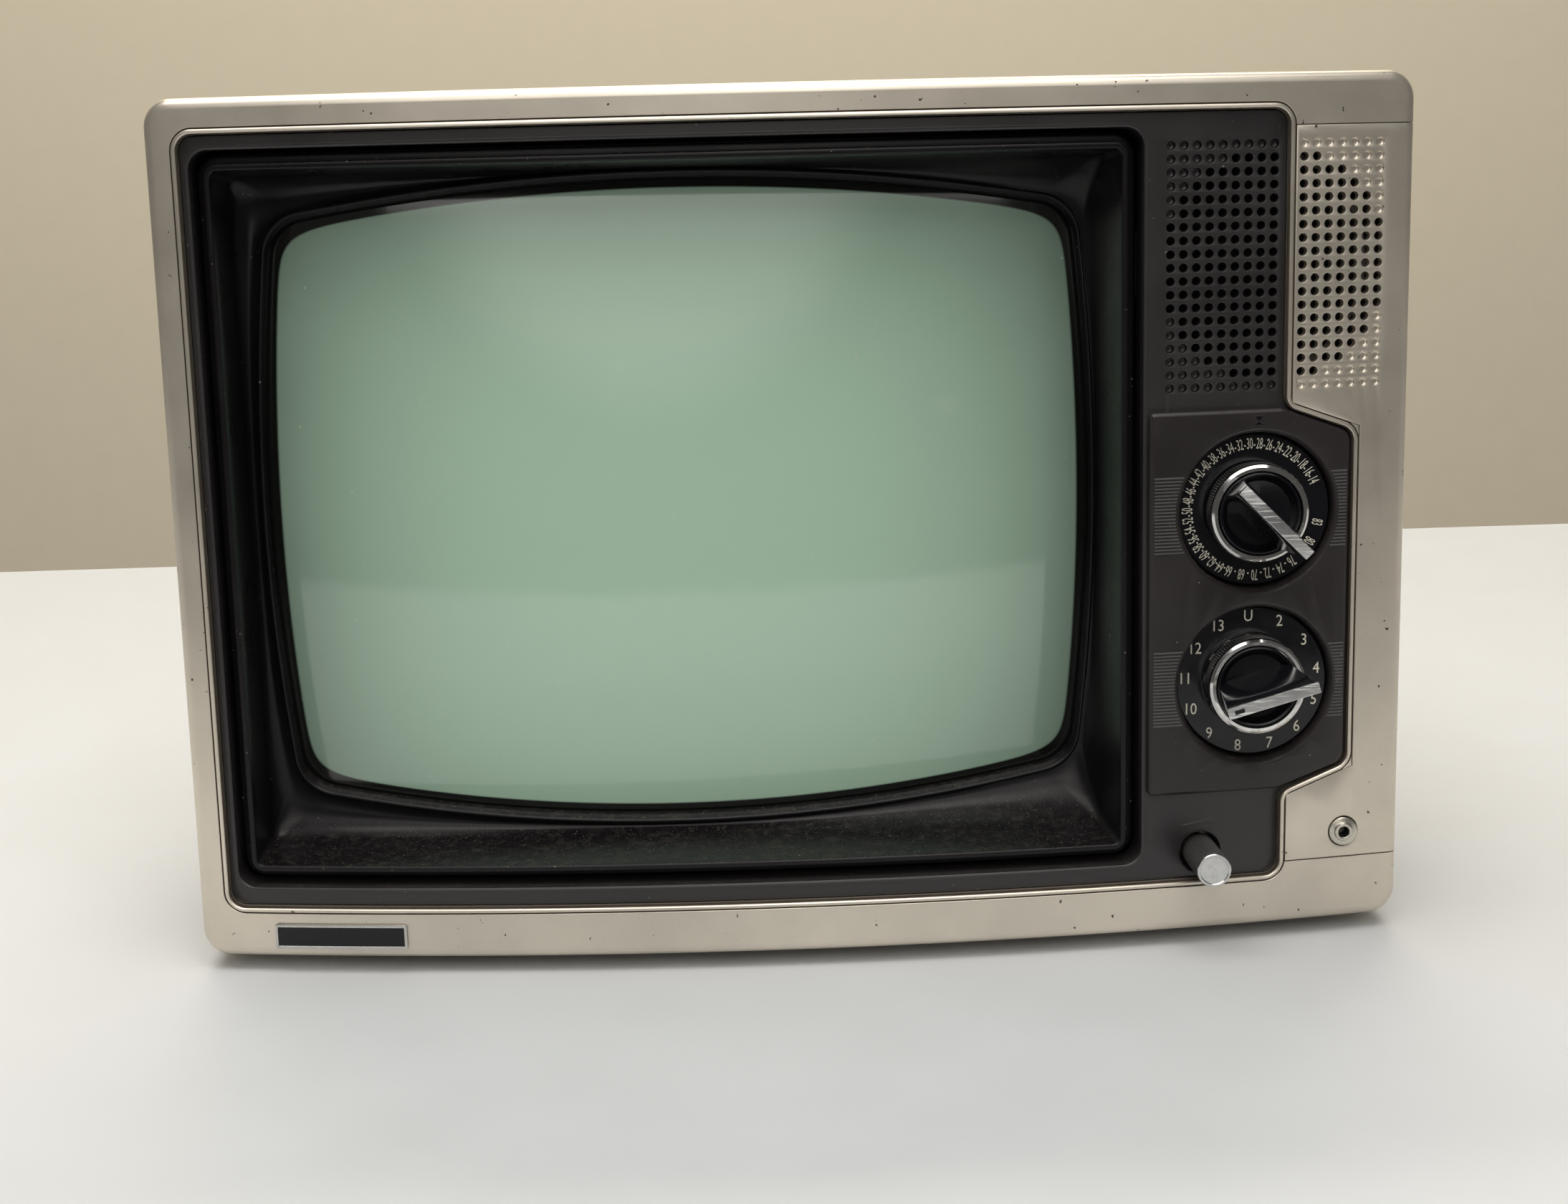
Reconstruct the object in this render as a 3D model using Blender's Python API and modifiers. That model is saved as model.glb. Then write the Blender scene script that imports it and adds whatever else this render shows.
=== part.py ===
"""Portable tube television with a bowed front, two tuner knobs and a pull-on volume knob.

Model space: X to the viewer's right, Y from the front to the back, Z up, in metres.
The parts are laid out from the middle of the front frame's lower edge, in the plane
through the frame's two side corners, and one empty moves that layout so that the
origin lies under the middle of the whole set, on the surface the feet stand on.
"""
import math

import bmesh
import bpy
from mathutils import Matrix, Vector

MM = 0.001
GAP = 0.3 * MM


def mm(*values):
    return tuple(value * MM for value in values)

# Cabinet
WIDTH = 400 * MM
HEIGHT = 278 * MM
CORNER_R = 9 * MM
WALL = 2.5 * MM
BOW = 18 * MM
BOW_STEP = 25 * MM
BOW_FULL_Y = 16 * MM
FRAME_DEPTH = 45 * MM
EDGE_BEVEL = 3.3 * MM
FACE_T = 5.7 * MM
FOOT_H = 5 * MM
SHOULDER_Y = 150 * MM
BOX_Y = 205 * MM
BACK_Y = 262 * MM
REAR_KNOB_Y = 270.5 * MM

# Opening in the silver face, with its notch for the tuner plate
OPEN_X0, OPEN_X1 = -189.5 * MM, 158 * MM
OPEN_Z0, OPEN_Z1 = 17.3 * MM, 266.7 * MM
NOTCH_X = 181 * MM
NOTCH_LOW = (45.6 * MM, 54 * MM)
NOTCH_HIGH = (164.6 * MM, 172.9 * MM)
BEAD = 2 * MM
SEAM_Z0, SEAM_Z1 = 21.2 * MM, 261.8 * MM
PANEL_T = 3.4 * MM

# Black mask
MASK_Y = 2.5 * MM
MASK_FLANGE_Y = 6 * MM
MASK_BACK_Y = 8 * MM
MASK_FLANGE = 2.5 * MM
GROOVE = mm(-186.6, 111.3, 23.4, 262)
GROOVE_R = 6 * MM
GROOVE_BACK_Y = 14.5 * MM
RIM_T = 1.6 * MM
POST_R = 3 * MM

# Sound holes: a square pattern that runs over the mask and the side panel
HOLE_PITCH = 4.22 * MM
HOLE_R = 1.4 * MM
HOLE_TOP_Z = 256 * MM
HOLE_ROWS = 19
MASK_HOLE_X, MASK_HOLE_COLUMNS = 120 * MM, 9
PANEL_HOLE_X, PANEL_HOLE_COLUMNS = 162.9 * MM, 7
SOUND_COLUMN, SOUND_ROW, SOUND_REACH = 9, 10, math.sqrt(76)

# Screen and its surround
TUBE_X, TUBE_Z = -36.8 * MM, 144.3 * MM
TUBE_A, TUBE_B, TUBE_R = mm(142, 112, 20)
TUBE_BULGE = (0.038, 0.116)
LIP_CREST, LIP_END = mm(137.8, 108.2, 14), mm(136.2, 105.5, 13)
LIP_HEIGHT, LIP_GAP = 5 * MM, 1 * MM
GLASS_Y = 11 * MM
GLASS_R = 600 * MM
GLASS_T = 3 * MM
NECK_R = 10 * MM
NECK_END_Y = 240 * MM
RING = mm(-182.9, 107, 27.7, 257.8)
RING_W = 2.2 * MM
RING_Y = 5 * MM
CREASE = mm(-179.6, 102.5, 32.3, 253.8)
CREASE_Y = 28 * MM
SURROUND_T = 0.9 * MM
SURROUND_FLANGE = 0.5 * MM

# Tuner plate, dials and knobs
DIAL_X = 149 * MM
UHF_Z = 139.5 * MM
VHF_Z = 82.5 * MM
PLATE_Y = (-0.5 * MM, 2.2 * MM)
PLATE_X0 = 113.2 * MM
PLATE_Z = (46.8 * MM, 172.6 * MM)
WELL_R = 25.6 * MM
WELL_WALL = 1.3 * MM
WELL_Y = (10.6 * MM, 12 * MM)
DIAL_Y = -2.5 * MM
DIAL_T = 1.5 * MM
DIAL_R = 24.7 * MM
UHF_TURN = math.radians(45)
VHF_TURN = math.radians(-15.4)
BAR_FRONT = 29 * MM
STRIP = (30.3 * MM, 3.6 * MM, 1 * MM)
SHAFT_R = 3 * MM
BRACKET_Y = 14 * MM
SHEET_T = 1.2 * MM

# Tuner boxes and their bracket: corners of the boxes, and (x, z) corners of the bracket's outline
VHF_BOX = (mm(119, 15.5, 56), mm(181, 106, 110.5))
UHF_BOX = (mm(122, 15.5, 113), mm(176, 86, 168))
VHF_BORE = mm(5.4, 25.5)
UHF_BORE_END = 22 * MM
BRACKET = [mm(121.5, 14), mm(194, 14), mm(194, 172), mm(113, 172), mm(113, 32), mm(121.5, 32)]
BRACKET_HOLE_R = {"uhf": 4 * MM, "vhf": 6 * MM, "volume": 5.3 * MM, "jack": 3.4 * MM}

# Volume control, its pull-on switch and the earphone jack
VOLUME_X, VOLUME_Z = 131.5 * MM, 26 * MM
VOLUME_HOLE_R = 6.8 * MM
VOLUME_KNOB_R, VOLUME_KNOB_Y = 5.6 * MM, (-27 * MM, -3 * MM)
VOLUME_CAP_R, VOLUME_CAP_T, CAP_DISH_R = 5.5 * MM, 1.3 * MM, 4.5 * MM
VOLUME_SHAFT_Y = (-19 * MM, 35 * MM)
POT_NECK_R, POT_R = 5 * MM, 8 * MM
POT_Y = mm(6, 15.5, 27.5)
SWITCH_TRAVEL = 4 * MM
SLIDER_HALF, SLIDER_LENGTH = 4.5 * MM, 8 * MM
JACK_X, JACK_Z = 180.5 * MM, 30.2 * MM

# Fasteners
COVER_SCREWS = [(sx * 192.8 * MM, z * MM) for sx in (-1, 1) for z in (7.2, 270.8)]
TUBE_SCREWS = [mm(-190.6, 30), mm(-190.6, 250), mm(116, 19.5), mm(116, 264)]
EAR_Y = 40 * MM
EAR_T = 1.5 * MM
EAR_HALF = 4 * MM
BAND_DEPTH, BAND_T, BAND_GAP = 15 * MM, 1.4 * MM, 0.7 * MM
SCREW_R = 1.3 * MM
TUBE_SCREW_TIP, COVER_SCREW_TIP = 26 * MM, 131 * MM

# Neck parts, speaker and boards
YOKE = [(13.2, 207), (35, 207), (35, 200), (44, 186), (47, 171), (27, 171), (17.5, 182), (13.2, 191)]
TUBE_SOCKET = [(0, 246), (15, 246), (15, 228), (10.6, 228), (10.6, 241), (0, 241)]
FUNNEL_SLOPE = (0, 26, 35)
ANODE_SEAT = mm(10, 92.5, 232.4)
ANODE_CAP = [(0, 6), (5, 5.6), (9, 3), (11, 0), (0, 0)]
LEAD_ROUTE = [(52, 106, 228), (84, 112, 205), (98, 118, 165), (97, 121, 125), (86, 121, 98), (78, 121, 84),
              (77, 121, 72.6)]
LEAD_R = 1.8 * MM
SPEAKER_AT = mm(150, 0, 218)
BASKET = [(0, 43), (19, 43), (19, 30), (31, 22.5), (38.3, 15), (38.3, 11), (37, 11), (37, 13.5), (29.5, 21),
          (16, 28), (0, 30)]
CONE = [(0, 21), (10, 24), (28, 16.6), (36.4, 12), (36.4, 11.2), (28, 15.6), (10, 23), (0, 20)]
MAIN_BOARD = (mm(-172, 62, 12), mm(104, 144, 13.6))
BOARD_TOP = 13.6 * MM
SUNK = 0.6 * MM
FILTER_CAN = mm(-88, 120, 13, 58)
COMPONENTS = [(-55, 76), (-20, 82), (12, 76), (-35, 128), (8, 128)]
COMPONENT_HALF, COMPONENT_TOP = (7 * MM, 6 * MM), 31 * MM
HEAT_SINK = (mm(-62, 138.5, 13), mm(22, 141, 50))
POWER_TRANSFORMER = (mm(-166, 94, 13.9), mm(-112, 142, 58))
FLYBACK = (mm(56, 100, 13.9), mm(98, 142, 72))
REAR_BOARD = (mm(-118, 240, 32), mm(-4, 241.6, 58))
POT_BODY_HALF, POT_BODY_Y, POT_BODY_Z = 8 * MM, mm(241, 249), mm(34, 54)

# Back of the set
COVER_BACK = [(185, 15, 263, 10, SHOULDER_Y), (165, 20, 246, 14, BOX_Y), (150, 24, 230, 12, BACK_Y)]
BACK_SLOTS = {"x": [-120 + 13 * i for i in range(11)], "z": (86, 150), "size": mm(4, 20, 48)}
TOP_SLOTS = {"x": [-72 + 24 * i for i in range(7)], "y": 180, "z": 254, "size": mm(5, 26, 40)}
BASE_SLOTS = {"x": [-100 + 40 * i for i in range(6)], "y": 104, "size": mm(22, 5, 20)}
CONTROL_KNOB_R, CONTROL_SHAFT_Y = 7 * MM, 244.5 * MM
TERMINALS = (mm(41, 252, 170), mm(90, 264.5, 190))
TERMINAL_X, TERMINAL_STEP, TERMINAL_R = 47.5 * MM, 12 * MM, 3 * MM
INLET = (mm(59, 248, 34.5), mm(91, 264, 54.5))
INLET_RECESS = (mm(63, 251, 38.5), mm(87, 280, 50.5))
PIN_PITCH, PIN_R, PIN_LENGTH = 12.7 * MM, 1.6 * MM, 9 * MM
CONTROLS = {"brightness_knob": -95 * MM, "contrast_knob": -60 * MM, "vertical_hold_knob": -25 * MM}
CONTROL_Z = 44 * MM
GRIP = (-62 * MM, 62 * MM, 92 * MM, 124 * MM)
GRIP_DEPTH = 26 * MM
ANTENNA = (140 * MM, 232 * MM, 249 * MM)
ANTENNA_HOLE_R = 4.4 * MM
ROD_LENGTH = 262 * MM
ROD_R = mm(3.4, 2.6, 1.8)
ROD_BORE_R = mm(2.9, 2.1)
ROD_START = mm(-3, -9, -13)
ROD_STEP = 3 * MM
SWIVEL_STEM = [(0, -4.6), (8, -4.6), (8, -7.6), (4, -8.8), (4, -19), (0, -19)]
SWIVEL_EAR = (mm(5, 6.4, 5.5), mm(-5, 4.2, -6))
PIVOT_R = 1.5 * MM
FEET = [(-150, 28), (150, 28), (-150, 134), (150, 134)]
FOOT_R = mm(9, 7.5)


# ---------------------------------------------------------------- scene and helpers

def clear_scene():
    for old in list(bpy.data.objects):
        bpy.data.objects.remove(old, do_unlink=True)


def collection(name):
    made = bpy.data.collections.new(name)
    bpy.context.scene.collection.children.link(made)
    return made


def empty(name, location, parent=None):
    made = bpy.data.objects.new(name, None)
    made.empty_display_size = 0.01
    made.location = location
    made.parent = parent
    PARTS.objects.link(made)
    return made


def material(name, colour, roughness, metallic=0.0):
    made = bpy.data.materials.new(name)
    made.use_nodes = True
    shader = made.node_tree.nodes["Principled BSDF"]
    shader.inputs["Base Color"].default_value = (*colour, 1.0)
    shader.inputs["Roughness"].default_value = roughness
    shader.inputs["Metallic"].default_value = metallic
    return made


def new_object(name, mesh, look=None, parent=None):
    """Link a mesh object: a part when it has a look, else a hidden cutter."""
    made = bpy.data.objects.new(name, mesh)
    made.parent = parent or ORIGIN
    if look:
        PARTS.objects.link(made)
        mesh.materials.append(LOOKS[look])
    else:
        CUTTERS.objects.link(made)
        made.hide_render = True
        made.display_type = "WIRE"
    return made


def mesh_from(bm, name):
    mesh = bpy.data.meshes.new(name)
    bm.to_mesh(mesh)
    bm.free()
    return mesh


def smooth(obj, angle=35):
    obj.data.shade_smooth()
    obj.data.set_sharp_from_angle(angle=math.radians(angle))
    return obj


def apply_modifiers(obj):
    evaluated = obj.evaluated_get(bpy.context.evaluated_depsgraph_get())
    mesh = bpy.data.meshes.new_from_object(evaluated)
    obj.modifiers.clear()
    obj.data = mesh
    return obj


def boolean(obj, other, operation="DIFFERENCE"):
    step = obj.modifiers.new(other.name, "BOOLEAN")
    step.operation = operation
    step.solver = "EXACT"
    step.object = other
    return obj


def box(name, low, high, look=None, parent=None, bevel=0.0):
    """Block between two corners; its origin is its middle."""
    low, high = Vector(low), Vector(high)
    bm = bmesh.new()
    bmesh.ops.create_cube(bm, size=1.0)
    bmesh.ops.scale(bm, vec=high - low, verts=bm.verts)
    obj = new_object(name, mesh_from(bm, name), look, parent)
    obj.location = (low + high) / 2
    if bevel:
        rounding = obj.modifiers.new("rounded edges", "BEVEL")
        rounding.width = bevel
        rounding.segments = 1
    return obj


def rod(name, start, end, radius, look=None, parent=None, sides=12):
    """Straight round bar between two points."""
    start, end = Vector(start), Vector(end)
    along = end - start
    bm = bmesh.new()
    bmesh.ops.create_cone(bm, cap_ends=True, segments=sides, radius1=radius, radius2=radius, depth=along.length)
    obj = new_object(name, mesh_from(bm, name), look, parent)
    obj.location = (start + end) / 2
    obj.rotation_mode = "QUATERNION"
    obj.rotation_quaternion = Vector((0, 0, 1)).rotation_difference(along)
    return smooth(obj)


def turned(name, profile, location, look=None, parent=None, sides=24, closed=False, axis="Y"):
    """Turned piece: (radius, distance along the axis) points, spun about Y or Z through location."""
    points = list(profile)
    loop = points + [points[0]]
    area = sum(a[0] * b[1] - b[0] * a[1] for a, b in zip(loop, loop[1:]))
    if area > 0:
        points.reverse()
    bm = bmesh.new()
    verts = [bm.verts.new((r, 0, z)) for r, z in points]
    for a, b in zip(verts, verts[1:]):
        bm.edges.new((a, b))
    if closed:
        bm.edges.new((verts[-1], verts[0]))
    obj = new_object(name, mesh_from(bm, name), look, parent)
    obj.location = location
    if axis == "Y":
        obj.rotation_euler = (-math.pi / 2, 0, 0)
    spin = obj.modifiers.new("spin", "SCREW")
    spin.axis = "Z"
    spin.steps = sides
    spin.render_steps = sides
    spin.use_merge_vertices = True
    spin.merge_threshold = 1e-6
    spin.use_smooth_shade = True
    return obj


def ring_profile(inner, outer, low, high):
    return [(inner, high), (outer, high), (outer, low), (inner, low)]


def disc_profile(radius, low, high):
    return [(0, high), (radius, high), (radius, low), (0, low)]


def outset(points, distance):
    """Move every edge of a counter-clockwise outline outwards."""
    moved = []
    for before, here, after in zip(points[-1:] + points[:-1], points, points[1:] + points[:1]):
        a, p, b = Vector(before), Vector(here), Vector(after)
        into, out = (p - a).normalized(), (b - p).normalized()
        n1, n2 = Vector((into.y, -into.x)), Vector((out.y, -out.x))
        moved.append(tuple(p + (n1 + n2) * distance / (1 + n1.dot(n2))))
    return moved


def fillet(points, radii, segments=4):
    """Round the corners of a closed outline with arcs, of one radius or of one each."""
    rounded = []
    if not isinstance(radii, list):
        radii = [radii] * len(points)
    neighbours = zip(points[-1:] + points[:-1], points, points[1:] + points[:1], radii)
    for before, here, after, radius in neighbours:
        a, p, b = Vector(before), Vector(here), Vector(after)
        u, v = (a - p).normalized(), (b - p).normalized()
        half = u.angle(v) / 2
        centre = p + (u + v).normalized() * radius / math.sin(half)
        start = p + u * radius / math.tan(half) - centre
        sweep = start.angle_signed(p + v * radius / math.tan(half) - centre)
        for i in range(segments + 1):
            turn = -sweep * i / segments
            c, s = math.cos(turn), math.sin(turn)
            rounded.append((centre.x + c * start.x - s * start.y, centre.y + s * start.x + c * start.y))
    return rounded


def rectangle(x0, x1, z0, z1):
    return [(x0, z0), (x1, z0), (x1, z1), (x0, z1)]


def plate(name, outlines, y_front, y_back, look=None):
    """Flat piece upright in XZ from closed outlines, the first outside and the rest holes."""
    curve = bpy.data.curves.new(name, "CURVE")
    curve.dimensions = "2D"
    curve.fill_mode = "BOTH"
    curve.extrude = (y_back - y_front) / 2
    for outline in outlines:
        spline = curve.splines.new("POLY")
        spline.points.add(len(outline) - 1)
        spline.use_cyclic_u = True
        for point, (x, z) in zip(spline.points, outline):
            point.co = (x, z, 0, 1)
    drawn = bpy.data.objects.new(name + "_outline", curve)
    CUTTERS.objects.link(drawn)
    drawn.location = (0, (y_front + y_back) / 2, 0)
    drawn.rotation_euler = (math.pi / 2, 0, 0)
    bpy.context.view_layer.update()
    mesh = bpy.data.meshes.new_from_object(drawn.evaluated_get(bpy.context.evaluated_depsgraph_get()))
    mesh.transform(drawn.matrix_world)
    bpy.data.objects.remove(drawn)
    bm = bmesh.new()
    bm.from_mesh(mesh)
    bmesh.ops.remove_doubles(bm, verts=bm.verts, dist=1e-6)
    bmesh.ops.dissolve_limit(bm, angle_limit=math.radians(0.5), verts=bm.verts, edges=bm.edges)
    bmesh.ops.recalc_face_normals(bm, faces=bm.faces)
    return new_object(name, mesh_from(bm, name), look)


def bevel_front_edge(obj, width, x_min=-1.0, segments=2):
    """Round the outer front edge, where it lies right of x_min."""
    bm = bmesh.new()
    bm.from_mesh(obj.data)
    front = min(v.co.y for v in bm.verts)

    def on_edge(edge):
        return all(abs(v.co.y - front) < 1e-6 and v.co.x > x_min for v in edge.verts) and not all(
            abs(f.normal.y) > 0.99 for f in edge.link_faces)

    edges = [e for e in bm.edges if on_edge(e)]
    bmesh.ops.bevel(bm, geom=edges, offset=width, segments=segments, profile=0.5, affect="EDGES",
                    clamp_overlap=False)
    bm.to_mesh(obj.data)
    bm.free()
    return obj


def bow_at(x):
    """How far the face stands forward at x: a parabola taken straight between stations."""
    def depth(at):
        return -BOW * (1 - (at / (WIDTH / 2)) ** 2)
    low = math.floor(x / BOW_STEP + 1e-6) * BOW_STEP
    share = (x - low) / BOW_STEP
    return depth(low) * (1 - share) + depth(low + BOW_STEP) * share


def bow_front(obj):
    """Bend a piece that was built flat to the bowed front, fading out towards the frame's back edge."""
    apply_modifiers(obj)
    bm = bmesh.new()
    bm.from_mesh(obj.data)
    count = round(WIDTH / BOW_STEP)
    for i in range(1, count):
        station = (i * BOW_STEP - WIDTH / 2, 0, 0)
        bmesh.ops.bisect_plane(bm, geom=bm.verts[:] + bm.edges[:] + bm.faces[:], dist=1e-6,
                               plane_co=station, plane_no=(1, 0, 0))
    bmesh.ops.triangulate(bm, faces=bm.faces)
    for vert in bm.verts:
        fade = (FRAME_DEPTH - vert.co.y) / (FRAME_DEPTH - BOW_FULL_Y)
        vert.co.y += bow_at(vert.co.x) * min(max(fade, 0), 1)
    bm.to_mesh(obj.data)
    bm.free()
    return obj


def rect_section(bounds, radius, y_of, side_steps=8, corner_steps=4):
    """Rounded rectangle as points that match barrel_section's, one for one."""
    x0, x1, z0, z1 = bounds
    corners = [(x1, z1, 1, 1), (x0, z1, -1, 1), (x0, z0, -1, -1), (x1, z0, 1, -1)]
    points = []
    for quarter, (x, z, sx, sz) in enumerate(corners):
        cx, cz = x - sx * radius, z - sz * radius
        for i in range(corner_steps + 1):
            turn = math.pi / 2 * (quarter + i / corner_steps)
            points.append((cx + radius * math.cos(turn), cz + radius * math.sin(turn)))
        nx, nz, nsx, nsz = corners[(quarter + 1) % 4]
        start = points[-1]
        turn = math.pi / 2 * (quarter + 1)
        end = (nx - nsx * radius + radius * math.cos(turn), nz - nsz * radius + radius * math.sin(turn))
        for i in range(1, side_steps):
            share = i / side_steps
            points.append((start[0] + (end[0] - start[0]) * share, start[1] + (end[1] - start[1]) * share))
    return [Vector((x, y_of(x, z), z)) for x, z in points]


def barrel_section(a, b, exponent, y_of, side_steps=8, corner_steps=4):
    """Superellipse about the tube's axis, which is a plain round at exponent 2."""
    reach = 0.68
    near = math.asin(reach ** (exponent / 2))
    far = math.pi / 2 - near
    points = []
    for sx, sz in ((1, 1), (-1, 1), (-1, -1), (1, -1)):
        arc = []
        for i in range(corner_steps + 1):
            t = near + (far - near) * i / corner_steps
            arc.append((a * math.cos(t) ** (2 / exponent), b * math.sin(t) ** (2 / exponent)))
        side = []
        for i in range(1, side_steps):
            share = reach * (1 - 2 * i / side_steps)
            rest = (1 - abs(share) ** exponent) ** (1 / exponent)
            side.append((a * share, b * rest) if sx == sz else (a * rest, b * share))
        if sx != sz:
            arc.reverse()
        points += [(sx * x, sz * z) for x, z in arc + side]
    return [Vector((TUBE_X + x, y_of(TUBE_X + x, TUBE_Z + z), TUBE_Z + z)) for x, z in points]


def screen_section(a, b, radius, y_of, side_steps=8, corner_steps=4):
    """Screen outline about the tube's axis: four bulging sides and small round corners."""
    sag_x, sag_z = a * TUBE_BULGE[0], b * TUBE_BULGE[1]
    px, pz = a - sag_x, b - sag_z
    lean, tip = math.atan(2 * sag_x / pz), math.atan(2 * sag_z / px)
    back = radius / math.tan((math.pi / 2 + lean + tip) / 2)
    centre_x = px + back * math.sin(lean) - radius * math.cos(lean)
    centre_z = pz - back * math.cos(lean) - radius * math.sin(lean)
    arc = []
    for i in range(corner_steps + 1):
        t = lean + (math.pi / 2 - tip - lean) * i / corner_steps
        arc.append((centre_x + radius * math.cos(t), centre_z + radius * math.sin(t)))
    shares = [1 - 2 * i / side_steps for i in range(1, side_steps)]
    level = [(arc[-1][0] * share, b - sag_z * (arc[-1][0] * share / px) ** 2) for share in shares]
    upright = [(a - sag_x * (arc[0][1] * share / pz) ** 2, arc[0][1] * share) for share in shares]
    points = []
    for sx, sz in ((1, 1), (-1, 1), (-1, -1), (1, -1)):
        quarter = arc + level if sx == sz else arc[::-1] + upright
        points += [(sx * x, sz * z) for x, z in quarter]
    return [Vector((TUBE_X + x, y_of(TUBE_X + x, TUBE_Z + z), TUBE_Z + z)) for x, z in points]


def loft(name, sections, look, outward=False, start_cap=None, end_cap=False, thickness=0.0):
    """Skin through matching sections, front to back, thickened away from its visible side."""
    bm = bmesh.new()
    rings = [[bm.verts.new(p) for p in section] for section in sections]
    for near, far in zip(rings, rings[1:]):
        for i in range(len(near)):
            j = (i + 1) % len(near)
            face = [near[i], near[j], far[j], far[i]]
            bm.faces.new(face[::-1] if outward else face)
    if start_cap is not None:
        centre = bm.verts.new(start_cap)
        for i in range(len(rings[0])):
            face = [centre, rings[0][i], rings[0][(i + 1) % len(rings[0])]]
            bm.faces.new(face if outward else face[::-1])
    if end_cap:
        bm.faces.new(rings[-1][::-1] if outward else rings[-1])
    obj = new_object(name, mesh_from(bm, name), look)
    if thickness:
        shell = obj.modifiers.new("shell", "SOLIDIFY")
        shell.thickness = thickness
        shell.offset = -1
        shell.use_even_offset = True
    return smooth(obj)


def glass_y(x, z):
    """Front surface of the picture tube's face."""
    return GLASS_Y + ((x - TUBE_X) ** 2 + (z - TUBE_Z) ** 2) / (2 * GLASS_R)


def opening_corners():
    return [(OPEN_X0, OPEN_Z0), (OPEN_X1, OPEN_Z0), (OPEN_X1, NOTCH_LOW[0]), (NOTCH_X, NOTCH_LOW[1]),
            (NOTCH_X, NOTCH_HIGH[0]), (OPEN_X1, NOTCH_HIGH[1]), (OPEN_X1, OPEN_Z1), (OPEN_X0, OPEN_Z1)]


def sound_holes(name, first_x, first_column, columns, y_front, y_back):
    """Cutter: a small bar at every open hole of the round sound field."""
    bm = bmesh.new()
    for column in range(first_column, first_column + columns):
        for row in range(1, HOLE_ROWS + 1):
            if math.hypot(column - SOUND_COLUMN, row - SOUND_ROW) > SOUND_REACH:
                continue
            x = first_x + (column - first_column) * HOLE_PITCH
            z = HOLE_TOP_Z - (row - 1) * HOLE_PITCH
            place = Matrix.Translation((x, (y_front + y_back) / 2, z)) @ Matrix.Rotation(math.pi / 2, 4, "X")
            bmesh.ops.create_cone(bm, cap_ends=True, segments=4, radius1=HOLE_R, radius2=HOLE_R,
                                  depth=y_back - y_front, matrix=place)
    return new_object(name, mesh_from(bm, name))


# ---------------------------------------------------------------- front of the cabinet

def front_frame():
    """Silver cabinet front: a bowed face with a bevelled edge, side walls and screw posts."""
    outer = fillet(rectangle(-WIDTH / 2, WIDTH / 2, 0, HEIGHT), CORNER_R, 5)
    frame = plate("front_frame", [outer], 0, FRAME_DEPTH, "silver")
    bevel_front_edge(frame, EDGE_BEVEL)
    inner = rectangle(-WIDTH / 2 + WALL, WIDTH / 2 - WALL, WALL, HEIGHT - WALL)
    boolean(frame, plate("frame_inside", [fillet(inner, CORNER_R - WALL)], FACE_T, FRAME_DEPTH + 10 * MM))
    boolean(frame, plate("frame_opening", [fillet(opening_corners(), 5 * MM)], -10 * MM, FACE_T + 5 * MM))
    boolean(frame, plate("panel_step", [panel_outline(0)], -10 * MM, PANEL_T + GAP))
    window = rectangle(161 * MM, 190.5 * MM, 178 * MM, 258.5 * MM)
    boolean(frame, plate("sound_window", [window], 0, FACE_T + 5 * MM))
    boolean(frame, rod("frame_jack_hole", (JACK_X, -5 * MM, JACK_Z), (JACK_X, 10 * MM, JACK_Z), 3.3 * MM, sides=16))
    bow_front(frame)
    for i, (x, z) in enumerate(COVER_SCREWS, 1):
        end = (x, SHOULDER_Y - WALL - 0.5 * MM, z)
        boolean(frame, rod(f"frame_post_{i}", (x, 1.5 * MM, z), end, 3.2 * MM), "UNION")
        boolean(frame, rod(f"frame_pilot_{i}", (x, 128 * MM, z), (x, SHOULDER_Y, z), 1.6 * MM))
    return frame


def panel_outline(clearance):
    """Side insert: outside the bead on its left, flush with the cabinet's right side."""
    bead = outset(opening_corners(), BEAD)
    left = [bead[6], bead[5], bead[4], bead[3], bead[2], bead[1]]
    top, low = SEAM_Z1 - clearance, SEAM_Z0 + clearance
    side = WIDTH / 2 + (10 * MM if not clearance else 0)
    down = [(left[0][0] + clearance, top)]
    down += [(x + clearance, z) for x, z in left[1:5]]
    down += [(left[5][0] + clearance, low)]
    return down + [(side, low), (side, top)]


def side_panel():
    """Separate silver insert right of the opening, with its part of the sound field."""
    panel = plate("side_panel", [panel_outline(GAP)], 0, PANEL_T, "silver")
    bevel_front_edge(panel, EDGE_BEVEL, x_min=WIDTH / 2 - 1 * MM)
    first = MASK_HOLE_COLUMNS + 2
    boolean(panel, sound_holes("panel_holes", PANEL_HOLE_X, first, PANEL_HOLE_COLUMNS, -5 * MM, 10 * MM))
    boolean(panel, rod("panel_jack_hole", (JACK_X, -9 * MM, JACK_Z), (JACK_X, 9 * MM, JACK_Z), 5.1 * MM, sides=20))
    return bow_front(panel)


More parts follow.
